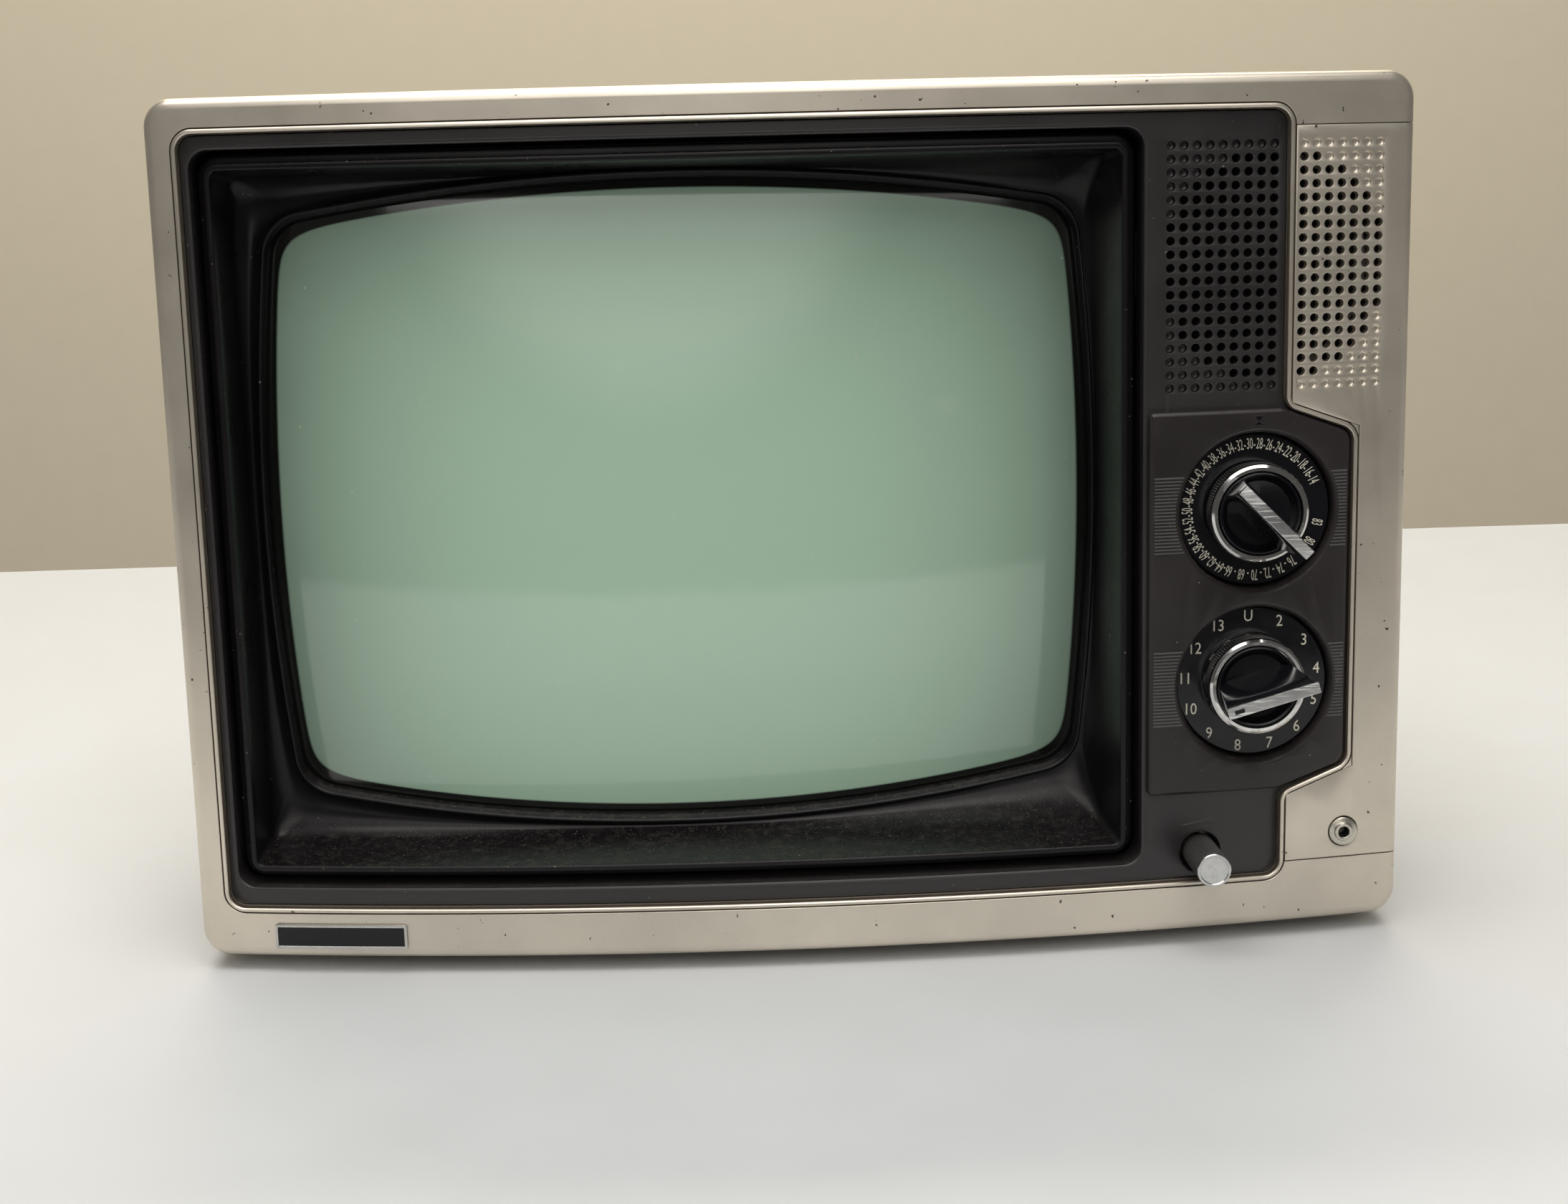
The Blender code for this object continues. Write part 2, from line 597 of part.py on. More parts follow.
def front_mask():
    """Black face in the opening: sound field, tuner wells, volume hole and the groove's outer wall."""
    face = fillet(outset(opening_corners(), -GAP), 5 * MM)
    mask = plate("front_mask", [face], MASK_Y, MASK_BACK_Y, "black")
    flange = fillet(outset(opening_corners(), MASK_FLANGE), 6 * MM)
    boolean(mask, plate("mask_flange", [flange], MASK_FLANGE_Y, MASK_BACK_Y), "UNION")
    rim = outset(rectangle(*GROOVE), RIM_T)
    boolean(mask, plate("mask_rim", [fillet(rim, GROOVE_R + RIM_T)], MASK_FLANGE_Y + GAP, GROOVE_BACK_Y), "UNION")
    boolean(mask, plate("mask_opening", [fillet(rectangle(*GROOVE), GROOVE_R)], -5 * MM, 30 * MM))
    for name, z in (("uhf", UHF_Z), ("vhf", VHF_Z)):
        clear = WELL_R + WELL_WALL + GAP
        boolean(mask, rod(f"mask_{name}_well", (DIAL_X, -5 * MM, z), (DIAL_X, 20 * MM, z), clear, sides=32))
    boolean(mask, rod("mask_volume_hole", (VOLUME_X, -5 * MM, VOLUME_Z), (VOLUME_X, 20 * MM, VOLUME_Z),
                      VOLUME_HOLE_R, sides=20))
    pocket = rectangle(117 * MM, 156.2 * MM, 177 * MM, 260 * MM)
    boolean(mask, plate("mask_sound_pocket", [pocket], MASK_Y + 2.2 * MM, 20 * MM))
    boolean(mask, sound_holes("mask_holes", MASK_HOLE_X, 1, MASK_HOLE_COLUMNS, -5 * MM, 10 * MM))
    bow_front(mask)
    for i, (x, z) in enumerate(TUBE_SCREWS, 1):
        root = bow_at(x) + MASK_BACK_Y - 1 * MM
        boolean(mask, rod(f"mask_post_{i}", (x, root, z), (x, EAR_Y - GAP, z), POST_R), "UNION")
        boolean(mask, rod(f"mask_pilot_{i}", (x, 24 * MM, z), (x, EAR_Y + 5 * MM, z), 1.6 * MM))
    for i, (x, z) in enumerate(((116.3, 60), (116.3, 160), (180.2, 60), (180.2, 158)), 1):
        x, z = x * MM, z * MM
        root = bow_at(x) + MASK_BACK_Y - 1 * MM
        boolean(mask, rod(f"mask_standoff_{i}", (x, root, z), (x, BRACKET_Y - GAP, z), 2.4 * MM, sides=10), "UNION")
    return mask


def screen_bezel():
    """Black surround: ring, sloping walls to a crease, and a barrel-shaped lip in front of the glass."""
    def bowed(depth):
        return lambda x, z: bow_at(x) + depth

    def before_glass(distance):
        return lambda x, z: glass_y(x, z) - distance

    flange = (GROOVE[0] - SURROUND_FLANGE, GROOVE[1] + SURROUND_FLANGE,
              GROOVE[2] - SURROUND_FLANGE, GROOVE[3] + SURROUND_FLANGE)
    inside = (RING[0] + RING_W, RING[1] - RING_W, RING[2] + RING_W, RING[3] - RING_W)
    sections = [rect_section(flange, GROOVE_R, bowed(GROOVE_BACK_Y + 2 * GAP)),
                rect_section(RING, 4.5 * MM, bowed(GROOVE_BACK_Y + 2 * GAP)),
                rect_section(RING, 4.5 * MM, bowed(RING_Y)),
                rect_section(inside, 2.3 * MM, bowed(RING_Y)),
                rect_section(CREASE, 3 * MM, bowed(CREASE_Y)),
                screen_section(*LIP_CREST, before_glass(LIP_HEIGHT)),
                screen_section(*LIP_END, before_glass(LIP_GAP))]
    return loft("screen_bezel", sections, "black", thickness=SURROUND_T)


def tuner_plate():
    """Raised black plate with a deep round well behind each dial."""
    right = outset(opening_corners(), -0.8 * MM)
    outline = [(PLATE_X0, PLATE_Z[0]), (right[2][0], PLATE_Z[0]), right[3], right[4],
               (right[5][0], PLATE_Z[1]), (PLATE_X0, PLATE_Z[1])]
    rounded = fillet(outline, [1.5 * MM] + [4.5 * MM] * 4 + [1.5 * MM])
    piece = plate("tuner_plate", [rounded], PLATE_Y[0], PLATE_Y[1], "black")
    for name, z in (("uhf", UHF_Z), ("vhf", VHF_Z)):
        wall = WELL_R + WELL_WALL
        cup = rod(f"{name}_well_wall", (DIAL_X, 0.5 * MM, z), (DIAL_X, WELL_Y[1], z), wall, sides=32)
        boolean(piece, cup, "UNION")
    for name, z in (("uhf", UHF_Z), ("vhf", VHF_Z)):
        boolean(piece, rod(f"{name}_well", (DIAL_X, -5 * MM, z), (DIAL_X, WELL_Y[0], z), WELL_R, sides=32))
        boolean(piece, rod(f"{name}_well_hole", (DIAL_X, 0, z), (DIAL_X, 20 * MM, z), 7 * MM, sides=16))
    return bow_front(piece)


def badge_plate():
    """Plain nameplate, without lettering, low on the left of the frame."""
    outline = fillet(rectangle(-175 * MM, -131 * MM, 3.4 * MM, 11.8 * MM), 0.8 * MM, 2)
    return bow_front(plate("badge_plate", [outline], -1.1 * MM, -GAP, "silver_trim"))


def earphone_jack():
    """Round socket in the side panel, open at the front."""
    profile = [(0, 12 * MM), (3 * MM, 12 * MM), (3 * MM, -0.4 * MM), (4.8 * MM, -0.4 * MM), (4.8 * MM, -4.1 * MM),
               (2.9 * MM, -4.3 * MM), (2.9 * MM, -4.9 * MM), (1.75 * MM, -4.9 * MM), (1.75 * MM, 10 * MM),
               (0, 10 * MM)]
    return turned("earphone_jack", profile, (JACK_X, 0, JACK_Z), "nickel", sides=16)


# ---------------------------------------------------------------- tuner knobs

def handle_bar(name, parent, turn):
    """Tapered finger bar that stands on a knob's core."""
    foot, top = (12 * MM, 4.5 * MM), (14.7 * MM, 1.8 * MM)
    obj = box(name, (-foot[0], -BAR_FRONT, -foot[1]), (foot[0], -5 * MM, foot[1]), parent=parent)
    front = min(v.co.y for v in obj.data.vertices)
    for vert in obj.data.vertices:
        if abs(vert.co.y - front) < 1e-6:
            vert.co.x *= top[0] / foot[0]
            vert.co.z *= top[1] / foot[1]
    obj.rotation_euler = (0, turn, 0)
    return obj


def knob_core(name, parent, turn, back):
    """Glossy core with a shallow dish, a finger bar and a blind bore for its shaft."""
    profile = back + [(13.3 * MM, -9.5 * MM), (12.4 * MM, -9.9 * MM), (10.5 * MM, -7.5 * MM), (0, -6.5 * MM)]
    core = turned(name, profile, (0, 0, 0), "gloss_black", parent, sides=32)
    boolean(core, handle_bar(name + "_bar", parent, turn), "UNION")
    boolean(core, rod(name + "_bore", (0, 2 * MM, 0), (0, -5.8 * MM, 0), SHAFT_R + GAP, parent=parent))
    return core


def knob_strip(name, parent, turn):
    """Bright metal strip on the front of a finger bar."""
    length, width, thick = STRIP
    back = -BAR_FRONT - GAP
    strip = box(name, (-length / 2, back - thick, -width / 2), (length / 2, back, width / 2), "aluminium", parent)
    strip.rotation_euler = (0, turn, 0)
    return strip


def uhf_control():
    """Continuous tuner: the numbered disc, ring, core, strip and shaft turn together."""
    axis = empty("uhf_axis", (DIAL_X, DIAL_Y, UHF_Z), ORIGIN)
    turned("uhf_dial", ring_profile(SHAFT_R + GAP, DIAL_R, 0, DIAL_T), (0, 0, 0), "gloss_black", axis, 32, True)
    flange = [(0, -0.5 * MM), (16 * MM, -0.5 * MM), (16 * MM, -1.7 * MM), (13.3 * MM, -1.7 * MM)]
    knob_core("uhf_knob", axis, UHF_TURN, flange)
    ring = ring_profile(13.6 * MM, 16.2 * MM, -10 * MM, -2 * MM)
    turned("uhf_knob_ring", ring, (0, 0, 0), "chrome", axis, 32, True)
    knob_strip("uhf_knob_strip", axis, UHF_TURN)
    turned("uhf_shaft", disc_profile(SHAFT_R, -5 * MM, 23.5 * MM), (0, 0, 0), "steel", axis, 12)


def vhf_control():
    """Stepped selector knob inside a separate fine-tuning ring on its own sleeve."""
    axis = empty("vhf_axis", (DIAL_X, DIAL_Y, VHF_Z), ORIGIN)
    turned("vhf_dial", ring_profile(7 * MM, DIAL_R, 0, DIAL_T), (0, 0, 0), "gloss_black", axis, 32, True)
    knob_core("vhf_knob", axis, VHF_TURN, [(0, -1.5 * MM), (13.3 * MM, -1.5 * MM)])
    knob_strip("vhf_knob_strip", axis, VHF_TURN)
    turned("vhf_shaft", disc_profile(SHAFT_R, -5 * MM, 27 * MM), (0, 0, 0), "steel", axis, 12)
    sleeve_in, sleeve_out = SHAFT_R + GAP, 5 * MM
    ring = [(sleeve_in, 20 * MM), (sleeve_out, 20 * MM), (sleeve_out, -0.3 * MM), (16.2 * MM, -0.3 * MM),
            (16.2 * MM, -10 * MM), (13.6 * MM, -10 * MM), (13.6 * MM, -1.2 * MM), (sleeve_in, -1.2 * MM)]
    turned("vhf_fine_ring", ring, (0, 0, 0), "chrome", axis, 32, True)


def volume_knob():
    """Slim knob that turns for loudness and pulls out to switch on."""
    axis = empty("volume_axis", (VOLUME_X, 0, VOLUME_Z), ORIGIN)
    knob = turned("volume_knob", disc_profile(VOLUME_KNOB_R, *VOLUME_KNOB_Y), (0, 0, 0), "dark_grey", axis, 24)
    boolean(knob, rod("volume_knob_bore", mm(0, 2, 0), mm(0, -20, 0), SHAFT_R + GAP, parent=axis))
    back = VOLUME_KNOB_Y[0] - GAP
    front = back - VOLUME_CAP_T
    cap = [(0, back), (VOLUME_CAP_R, back), (VOLUME_CAP_R, front), (CAP_DISH_R, front),
           (CAP_DISH_R - 0.2 * MM, front + 0.4 * MM), (0, front + 0.4 * MM)]
    turned("volume_knob_cap", cap, (0, 0, 0), "aluminium", axis, 24)
    turned("volume_shaft", disc_profile(SHAFT_R, *VOLUME_SHAFT_Y), (0, 0, 0), "steel", axis, 12)
    pot = [(SHAFT_R + GAP, POT_Y[0]), (POT_NECK_R, POT_Y[0]), (POT_NECK_R, POT_Y[1]), (POT_R, POT_Y[1]),
           (POT_R, POT_Y[2]), (SHAFT_R + GAP, POT_Y[2])]
    turned("volume_control", pot, (0, 0, 0), "steel", axis, 20, True)
    start = POT_Y[2] + SWITCH_TRAVEL + 2 * GAP
    slider = box("power_switch_slider", (-SLIDER_HALF, start, -SLIDER_HALF),
                 (SLIDER_HALF, start + SLIDER_LENGTH, SLIDER_HALF), "dark_grey", axis)
    boolean(slider, rod("slider_bore", (0, start - 2 * MM, 0), (0, VOLUME_SHAFT_Y[1] + GAP, 0), SHAFT_R + GAP,
                        parent=axis))


def tuners():
    """The two tuner boxes and the steel bracket that carries them and the volume control."""
    bracket = plate("tuner_bracket", [BRACKET], BRACKET_Y, BRACKET_Y + SHEET_T, "steel")
    places = {"uhf": (DIAL_X, UHF_Z), "vhf": (DIAL_X, VHF_Z), "volume": (VOLUME_X, VOLUME_Z),
              "jack": (JACK_X, JACK_Z)}
    for name, (x, z) in places.items():
        hole = rod(f"bracket_{name}_hole", (x, 0, z), (x, 30 * MM, z), BRACKET_HOLE_R[name], sides=16)
        boolean(bracket, hole)
    vhf = box("vhf_tuner", *VHF_BOX, "steel")
    boolean(vhf, rod("vhf_tuner_bore", (DIAL_X, 0, VHF_Z), (DIAL_X, VHF_BORE[1], VHF_Z), VHF_BORE[0], sides=16))
    uhf = box("uhf_tuner", *UHF_BOX, "steel")
    boolean(uhf, rod("uhf_tuner_bore", (DIAL_X, 0, UHF_Z), (DIAL_X, UHF_BORE_END, UHF_Z), SHAFT_R + GAP, sides=16))


# ---------------------------------------------------------------- picture tube

def picture_tube():
    """Glass bulb: curved face, skirt, funnel and an open neck end."""
    def section(a, b, exponent, y_of):
        return barrel_section(a, b, exponent, y_of, side_steps=4, corner_steps=4)

    def outline(scale, y_of):
        return screen_section(TUBE_A * scale, TUBE_B * scale, TUBE_R * scale, y_of, side_steps=4)

    face = [outline(scale, glass_y) for scale in (0.45, 0.8, 1.0)]
    skirt = [outline(1.0, lambda x, z: 56 * MM)]
    funnel = ((75, 0.9, 4.4), (110, 0.66, 3.4), (145, 0.4, 2.6))
    cone = [section(TUBE_A * s, TUBE_B * s, n, lambda x, z, y=y: y * MM) for y, s, n in funnel]
    throat = ((168, 26), (180, 13), (187, 10), (NECK_END_Y / MM, NECK_R / MM))
    neck = [section(r * MM, r * MM, 2, lambda x, z, y=y: y * MM) for y, r in throat]
    return loft("picture_tube", face + skirt + cone + neck, "glass", outward=True,
                start_cap=(TUBE_X, GLASS_Y, TUBE_Z), thickness=GLASS_T)


def tube_band():
    """Steel rim band round the bulb with an ear for each of its four screws."""
    def outline(extra):
        section = screen_section(TUBE_A + extra, TUBE_B + extra, TUBE_R + extra, lambda x, z: 0, side_steps=4)
        return [(p.x, p.z) for p in section]

    band = plate("tube_band", [outline(BAND_GAP + BAND_T)], EAR_Y, EAR_Y + BAND_DEPTH, "steel")
    for i, (x, z) in enumerate(TUBE_SCREWS, 1):
        side = Vector((math.copysign(1, x - TUBE_X), math.copysign(1, z - TUBE_Z)))
        corner = Vector((TUBE_X + side.x * TUBE_A * 0.86, TUBE_Z + side.y * TUBE_B * 0.8))
        end = Vector((x, z))
        out = (end - corner).normalized() * EAR_HALF
        across = Vector((-out.y, out.x))
        tip = end + out
        ear = [tuple(corner - across), tuple(tip - across), tuple(tip + across), tuple(corner + across)]
        boolean(band, plate(f"ear_{i}", [ear], EAR_Y, EAR_Y + EAR_T), "UNION")
        boolean(band, rod(f"ear_hole_{i}", (x, EAR_Y - 10 * MM, z), (x, EAR_Y + 10 * MM, z), 2 * MM))
    boolean(band, plate("band_inside", [outline(BAND_GAP)], EAR_Y - 5 * MM, EAR_Y + BAND_DEPTH + 5 * MM))
    return band


def screws():
    """Screws that hold the tube to the mask's posts and the back cover to the frame's posts."""
    for i, (x, z) in enumerate(TUBE_SCREWS, 1):
        head = EAR_Y + EAR_T + GAP
        profile = [(0, head + 2.5 * MM), (3.5 * MM, head + 2 * MM), (3.5 * MM, head), (SCREW_R, head),
                   (SCREW_R, TUBE_SCREW_TIP + 1 * MM), (0, TUBE_SCREW_TIP)]
        turned(f"tube_screw_{i}", profile, (x, 0, z), "zinc", sides=12)
    for i, (x, z) in enumerate(COVER_SCREWS, 1):
        head = SHOULDER_Y + GAP
        profile = [(0, head + 2.2 * MM), (2.6 * MM, head + 2 * MM), (3.3 * MM, head + 1 * MM), (3.3 * MM, head),
                   (SCREW_R, head), (SCREW_R, COVER_SCREW_TIP + 1 * MM), (0, COVER_SCREW_TIP)]
        turned(f"cover_screw_{i}", profile, (x, 0, z), "zinc", sides=12)


def neck_parts():
    """Deflection yoke, socket, and the high-voltage cap with its lead."""
    neck = (TUBE_X, 0, TUBE_Z)
    turned("deflection_yoke", [mm(*point) for point in YOKE], neck, "copper", closed=True)
    turned("tube_socket", [mm(*point) for point in TUBE_SOCKET], neck, "dark_grey")
    slope = Vector(FUNNEL_SLOPE).normalized()
    seat = Vector(ANODE_SEAT) + slope * 0.8 * MM
    cap = turned("anode_cap", [mm(*point) for point in ANODE_CAP], seat, "rubber", sides=20, axis="Z")
    cap.rotation_euler = slope.to_track_quat("Z", "Y").to_euler()
    route = [seat + slope * 6.6 * MM, seat + slope * 9.5 * MM, seat + Vector(mm(12, 9, 10))]
    route += [Vector(mm(*point)) for point in LEAD_ROUTE]
    tube_between("anode_lead", route, LEAD_R, "rubber")


def tube_between(name, route, radius, look):
    """Round lead along a smooth curve through the route's points."""
    points = []
    padded = [route[0] * 2 - route[1]] + route + [route[-1] * 2 - route[-2]]
    steps = 3
    for p0, p1, p2, p3 in zip(padded, padded[1:], padded[2:], padded[3:]):
        for i in range(steps):
            t = i / steps
            points.append(0.5 * ((2 * p1) + (p2 - p0) * t + (2 * p0 - 5 * p1 + 4 * p2 - p3) * t * t
                                 + (3 * p1 - p0 - 3 * p2 + p3) * t ** 3))
    points.append(route[-1])
    curve = bpy.data.curves.new(name, "CURVE")
    curve.dimensions = "3D"
    curve.bevel_depth = radius
    curve.bevel_resolution = 2
    curve.use_fill_caps = True
    spline = curve.splines.new("POLY")
    spline.points.add(len(points) - 1)
    for slot, point in zip(spline.points, points):
        slot.co = (*point, 1)
    obj = bpy.data.objects.new(name, curve)
    curve.materials.append(LOOKS[look])
    obj.parent = ORIGIN
    PARTS.objects.link(obj)
    return obj


# ---------------------------------------------------------------- inside the cabinet

def speaker():
    """Round loudspeaker behind the sound field."""
    turned("speaker_frame", [mm(*point) for point in BASKET], SPEAKER_AT, "steel", sides=28)
    turned("speaker_cone", [mm(*point) for point in CONE], SPEAKER_AT, "paper", sides=28)


def electronics():
    """Main circuit board with its heavy components, and the mains transformer."""
    board = box("main_board", *MAIN_BOARD, "board")
    x, y, low, high = FILTER_CAN
    boolean(board, rod("filter_can", (x, y, low), (x, y, high), 13 * MM, sides=20), "UNION")
    half_x, half_y = COMPONENT_HALF
    for i, point in enumerate(COMPONENTS, 1):
        x, y = mm(*point)
        block = box(f"component_{i}", (x - half_x, y - half_y, BOARD_TOP - SUNK),
                    (x + half_x, y + half_y, COMPONENT_TOP))
        boolean(board, block, "UNION")
    boolean(board, box("heat_sink", *HEAT_SINK), "UNION")
    box("power_transformer", *POWER_TRANSFORMER, "steel", bevel=2 * MM)
    box("flyback_transformer", *FLYBACK, "dark_grey", bevel=3 * MM)
    rear = box("rear_control_board", *REAR_BOARD, "board")
    for name, x in CONTROLS.items():
        low = (x - POT_BODY_HALF, POT_BODY_Y[0], POT_BODY_Z[0])
        high = (x + POT_BODY_HALF, POT_BODY_Y[1], POT_BODY_Z[1])
        boolean(rear, box(f"{name}_pot", low, high), "UNION")
    for name, x in CONTROLS.items():
        start = (x, CONTROL_SHAFT_Y - 0.5 * MM, CONTROL_Z)
        boolean(rear, rod(f"{name}_pot_bore", start, (x, BACK_Y, CONTROL_Z), SHAFT_R + GAP))


# ---------------------------------------------------------------- back of the cabinet

def cover_section(half_x, z0, z1, radius, y):
    return rect_section((-half_x, half_x, z0, z1), radius, lambda x, z: y, side_steps=1, corner_steps=4)


def rear_cover():
    """Back shell: full-size front part, flat shoulder for the screws, narrowing box, vents and a hand grip."""
    sections = [cover_section(WIDTH / 2, 0, HEIGHT, CORNER_R, y) for y in (FRAME_DEPTH + GAP, SHOULDER_Y)]
    sections += [cover_section(*mm(*size), y) for *size, y in COVER_BACK]
    cover = loft("rear_cover", sections, "dark_grey", outward=True, end_cap=True, thickness=WALL)
    x0, x1, y0, y1 = GRIP
    floor = HEIGHT - GRIP_DEPTH
    pocket = box("grip_pocket", (x0 - WALL, y0 - WALL, floor - WALL), (x1 + WALL, y1 + WALL, HEIGHT - 1 * MM))
    boolean(cover, pocket, "UNION")
    boolean(cover, box("grip_space", (x0, y0, floor), (x1, y1, HEIGHT + 10 * MM)))
    boolean(cover, rear_vents())
    for i, (x, z) in enumerate(COVER_SCREWS, 1):
        boolean(cover, rod(f"cover_hole_{i}", (x, 140 * MM, z), (x, 160 * MM, z), 1.9 * MM))
    inside, outside = BACK_Y - 12 * MM, BACK_Y + 18 * MM
    for name, x in CONTROLS.items():
        boolean(cover, rod(f"{name}_hole", (x, inside, CONTROL_Z), (x, outside, CONTROL_Z), 4 * MM, sides=16))
    for name, (low, high) in (("terminal", TERMINALS), ("inlet", INLET)):
        room = 0.5 * MM
        corner = (high[0] + room, outside, high[2] + room)
        boolean(cover, box(f"{name}_hole", (low[0] - room, inside, low[2] - room), corner))
    x, y, z = ANTENNA
    boolean(cover, rod("antenna_hole", (x, y, 200 * MM), (x, y, z + 10 * MM), ANTENNA_HOLE_R, sides=16))
    return cover


def rear_vents():
    """Cutter: upright slots in the back wall, and crossways slots in the sloping top and bottom."""
    bm = bmesh.new()

    def slot(middle, size):
        bmesh.ops.create_cube(bm, size=1.0, matrix=Matrix.Translation(middle) @ Matrix.Diagonal((*size, 1)))

    for row_z in BACK_SLOTS["z"]:
        for x in BACK_SLOTS["x"]:
            slot((x * MM, BACK_Y, row_z * MM), BACK_SLOTS["size"])
    for x in TOP_SLOTS["x"]:
        slot(mm(x, TOP_SLOTS["y"], TOP_SLOTS["z"]), TOP_SLOTS["size"])
    for x in BASE_SLOTS["x"]:
        slot(mm(x, BASE_SLOTS["y"], 0), BASE_SLOTS["size"])
    return new_object("vent_slots", mesh_from(bm, "vent_slots"))


def rear_fittings():
    """Adjusting knobs, antenna terminals and the mains inlet in the back wall."""
    knob_back = BACK_Y + GAP * 2
    for name, x in CONTROLS.items():
        axis = empty(name + "_axis", (x, 0, CONTROL_Z), ORIGIN)
        profile = [(0, REAR_KNOB_Y), (CONTROL_KNOB_R - 1 * MM, REAR_KNOB_Y),
                   (CONTROL_KNOB_R, REAR_KNOB_Y - 1 * MM), (CONTROL_KNOB_R, knob_back), (SHAFT_R, knob_back),
                   (SHAFT_R, CONTROL_SHAFT_Y), (0, CONTROL_SHAFT_Y)]
        turned(name, profile, (0, 0, 0), "dark_grey", axis, 16)
    block = box("antenna_terminals", *TERMINALS, "board")
    for i in range(4):
        x, z = TERMINAL_X + TERMINAL_STEP * i, (TERMINALS[0][2] + TERMINALS[1][2]) / 2
        boolean(block, rod(f"terminal_{i}", (x, BACK_Y, z), (x, BACK_Y + 5 * MM, z), TERMINAL_R, sides=10), "UNION")
    inlet = box("power_inlet", *INLET, "dark_grey")
    boolean(inlet, box("inlet_recess", *INLET_RECESS))
    low, high = INLET_RECESS
    middle_x, z, floor = (low[0] + high[0]) / 2, (low[2] + high[2]) / 2, low[1]
    for side in (-1, 1):
        x = middle_x + side * PIN_PITCH / 2
        pin = rod(f"inlet_pin_{side + 1}", (x, floor - 1 * MM, z), (x, floor + PIN_LENGTH, z), PIN_R, sides=8)
        boolean(inlet, pin, "UNION")


def antenna():
    """Telescopic rod, folded along the sloping top, on a swivelling base."""
    swivel = empty("antenna_axis", ANTENNA, ORIGIN)
    stem = [mm(*point) for point in SWIVEL_STEM]
    base = turned("antenna_base", stem, (0, 0, 0), "dark_grey", swivel, 16, axis="Z")
    (half, outer_y, top), (_, inner_y, bottom) = SWIVEL_EAR
    for side in (-1, 1):
        low, high = sorted((side * inner_y, side * outer_y))
        boolean(base, box(f"base_ear_{side + 1}", (-half, low, bottom), (half, high, top), parent=swivel), "UNION")
    pivot = rod("base_pin", mm(0, -5, 0), mm(0, 5, 0), PIVOT_R, parent=swivel, sides=10)
    boolean(base, pivot, "UNION")
    tips = [-ROD_LENGTH - ROD_STEP * i for i in range(3)]
    outer = rod("antenna_rod_1", (ROD_START[0], 0, 0), (tips[0], 0, 0), ROD_R[0], "chrome", swivel, sides=12)
    boolean(outer, rod("rod_knuckle", mm(0, -3.8, 0), mm(0, 3.8, 0), 4.2 * MM, parent=swivel, sides=16), "UNION")
    boolean(outer, rod("rod_pin_hole", mm(0, -9, 0), mm(0, 9, 0), PIVOT_R + 0.4 * MM, parent=swivel, sides=12))
    bore = rod("rod_bore_1", mm(-8, 0, 0), (tips[0] - 5 * MM, 0, 0), ROD_BORE_R[0], parent=swivel, sides=12)
    boolean(outer, bore)
    middle = rod("antenna_rod_2", (ROD_START[1], 0, 0), (tips[1], 0, 0), ROD_R[1], "chrome", swivel, sides=12)
    bore = rod("rod_bore_2", mm(-12, 0, 0), (tips[1] - 6 * MM, 0, 0), ROD_BORE_R[1], parent=swivel, sides=12)
    boolean(middle, bore)
    inner = rod("antenna_rod_3", (ROD_START[2], 0, 0), (tips[2], 0, 0), ROD_R[2], "chrome", swivel, sides=12)
    button = rod("rod_tip", (tips[2] + 2 * MM, 0, 0), (tips[2] - 4 * MM, 0, 0), 3 * MM, parent=swivel, sides=12)
    boolean(inner, button, "UNION")


def feet():
    """Four rubber feet, well behind the frame's front edge."""
    for i, (x, y) in enumerate(FEET, 1):
        profile = [(0, -GAP), (FOOT_R[0], -GAP), (FOOT_R[1], -FOOT_H), (0, -FOOT_H)]
        turned(f"foot_{i}", profile, (x * MM, y * MM, 0), "rubber", sides=20, axis="Z")


# ---------------------------------------------------------------- assembly

clear_scene()
PARTS = collection("tube_television")
CUTTERS = collection("cutters")
LOOKS = {
    "silver": material("silver_paint", (0.42, 0.39, 0.33), 0.42, 0.55),
    "silver_trim": material("silver_trim", (0.6, 0.59, 0.56), 0.35, 0.8),
    "black": material("black_plastic", (0.022, 0.019, 0.02), 0.42),
    "gloss_black": material("gloss_black_plastic", (0.008, 0.008, 0.01), 0.12),
    "dark_grey": material("dark_grey_plastic", (0.05, 0.048, 0.047), 0.5),
    "chrome": material("chrome", (0.75, 0.75, 0.76), 0.12, 1.0),
    "aluminium": material("aluminium", (0.72, 0.72, 0.72), 0.3, 1.0),
    "nickel": material("nickel", (0.62, 0.6, 0.55), 0.28, 1.0),
    "steel": material("plated_steel", (0.5, 0.5, 0.5), 0.4, 1.0),
    "zinc": material("zinc_screw", (0.55, 0.55, 0.52), 0.35, 1.0),
    "glass": material("screen_glass", (0.24, 0.3, 0.26), 0.1),
    "rubber": material("rubber", (0.02, 0.02, 0.02), 0.8),
    "copper": material("copper_winding", (0.45, 0.2, 0.08), 0.4, 0.8),
    "board": material("circuit_board", (0.3, 0.18, 0.06), 0.6),
    "paper": material("speaker_paper", (0.06, 0.055, 0.05), 0.9),
}
KNOB_TIP_Y = DIAL_Y - BAR_FRONT - GAP - STRIP[2]
ORIGIN = empty("television_origin", (0, -(KNOB_TIP_Y + REAR_KNOB_Y) / 2, FOOT_H))

front_frame()
side_panel()
front_mask()
screen_bezel()
tuner_plate()
badge_plate()
earphone_jack()
uhf_control()
vhf_control()
volume_knob()
tuners()
picture_tube()
tube_band()
screws()
neck_parts()
speaker()
electronics()
rear_cover()
rear_fittings()
antenna()
feet()
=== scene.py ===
"""Looks of the portable tube television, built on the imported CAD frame.

Pieces are drawn in the set's own layout: X to the viewer's right, Y from front to back,
Z up, from the middle of the cabinet's lower edge in the plane of its two front side
corners. ORIGIN puts that layout in the frame. Lengths are in metres.
"""
import math

import bmesh
import bpy
from mathutils import Matrix, Vector
from mathutils.geometry import tessellate_polygon


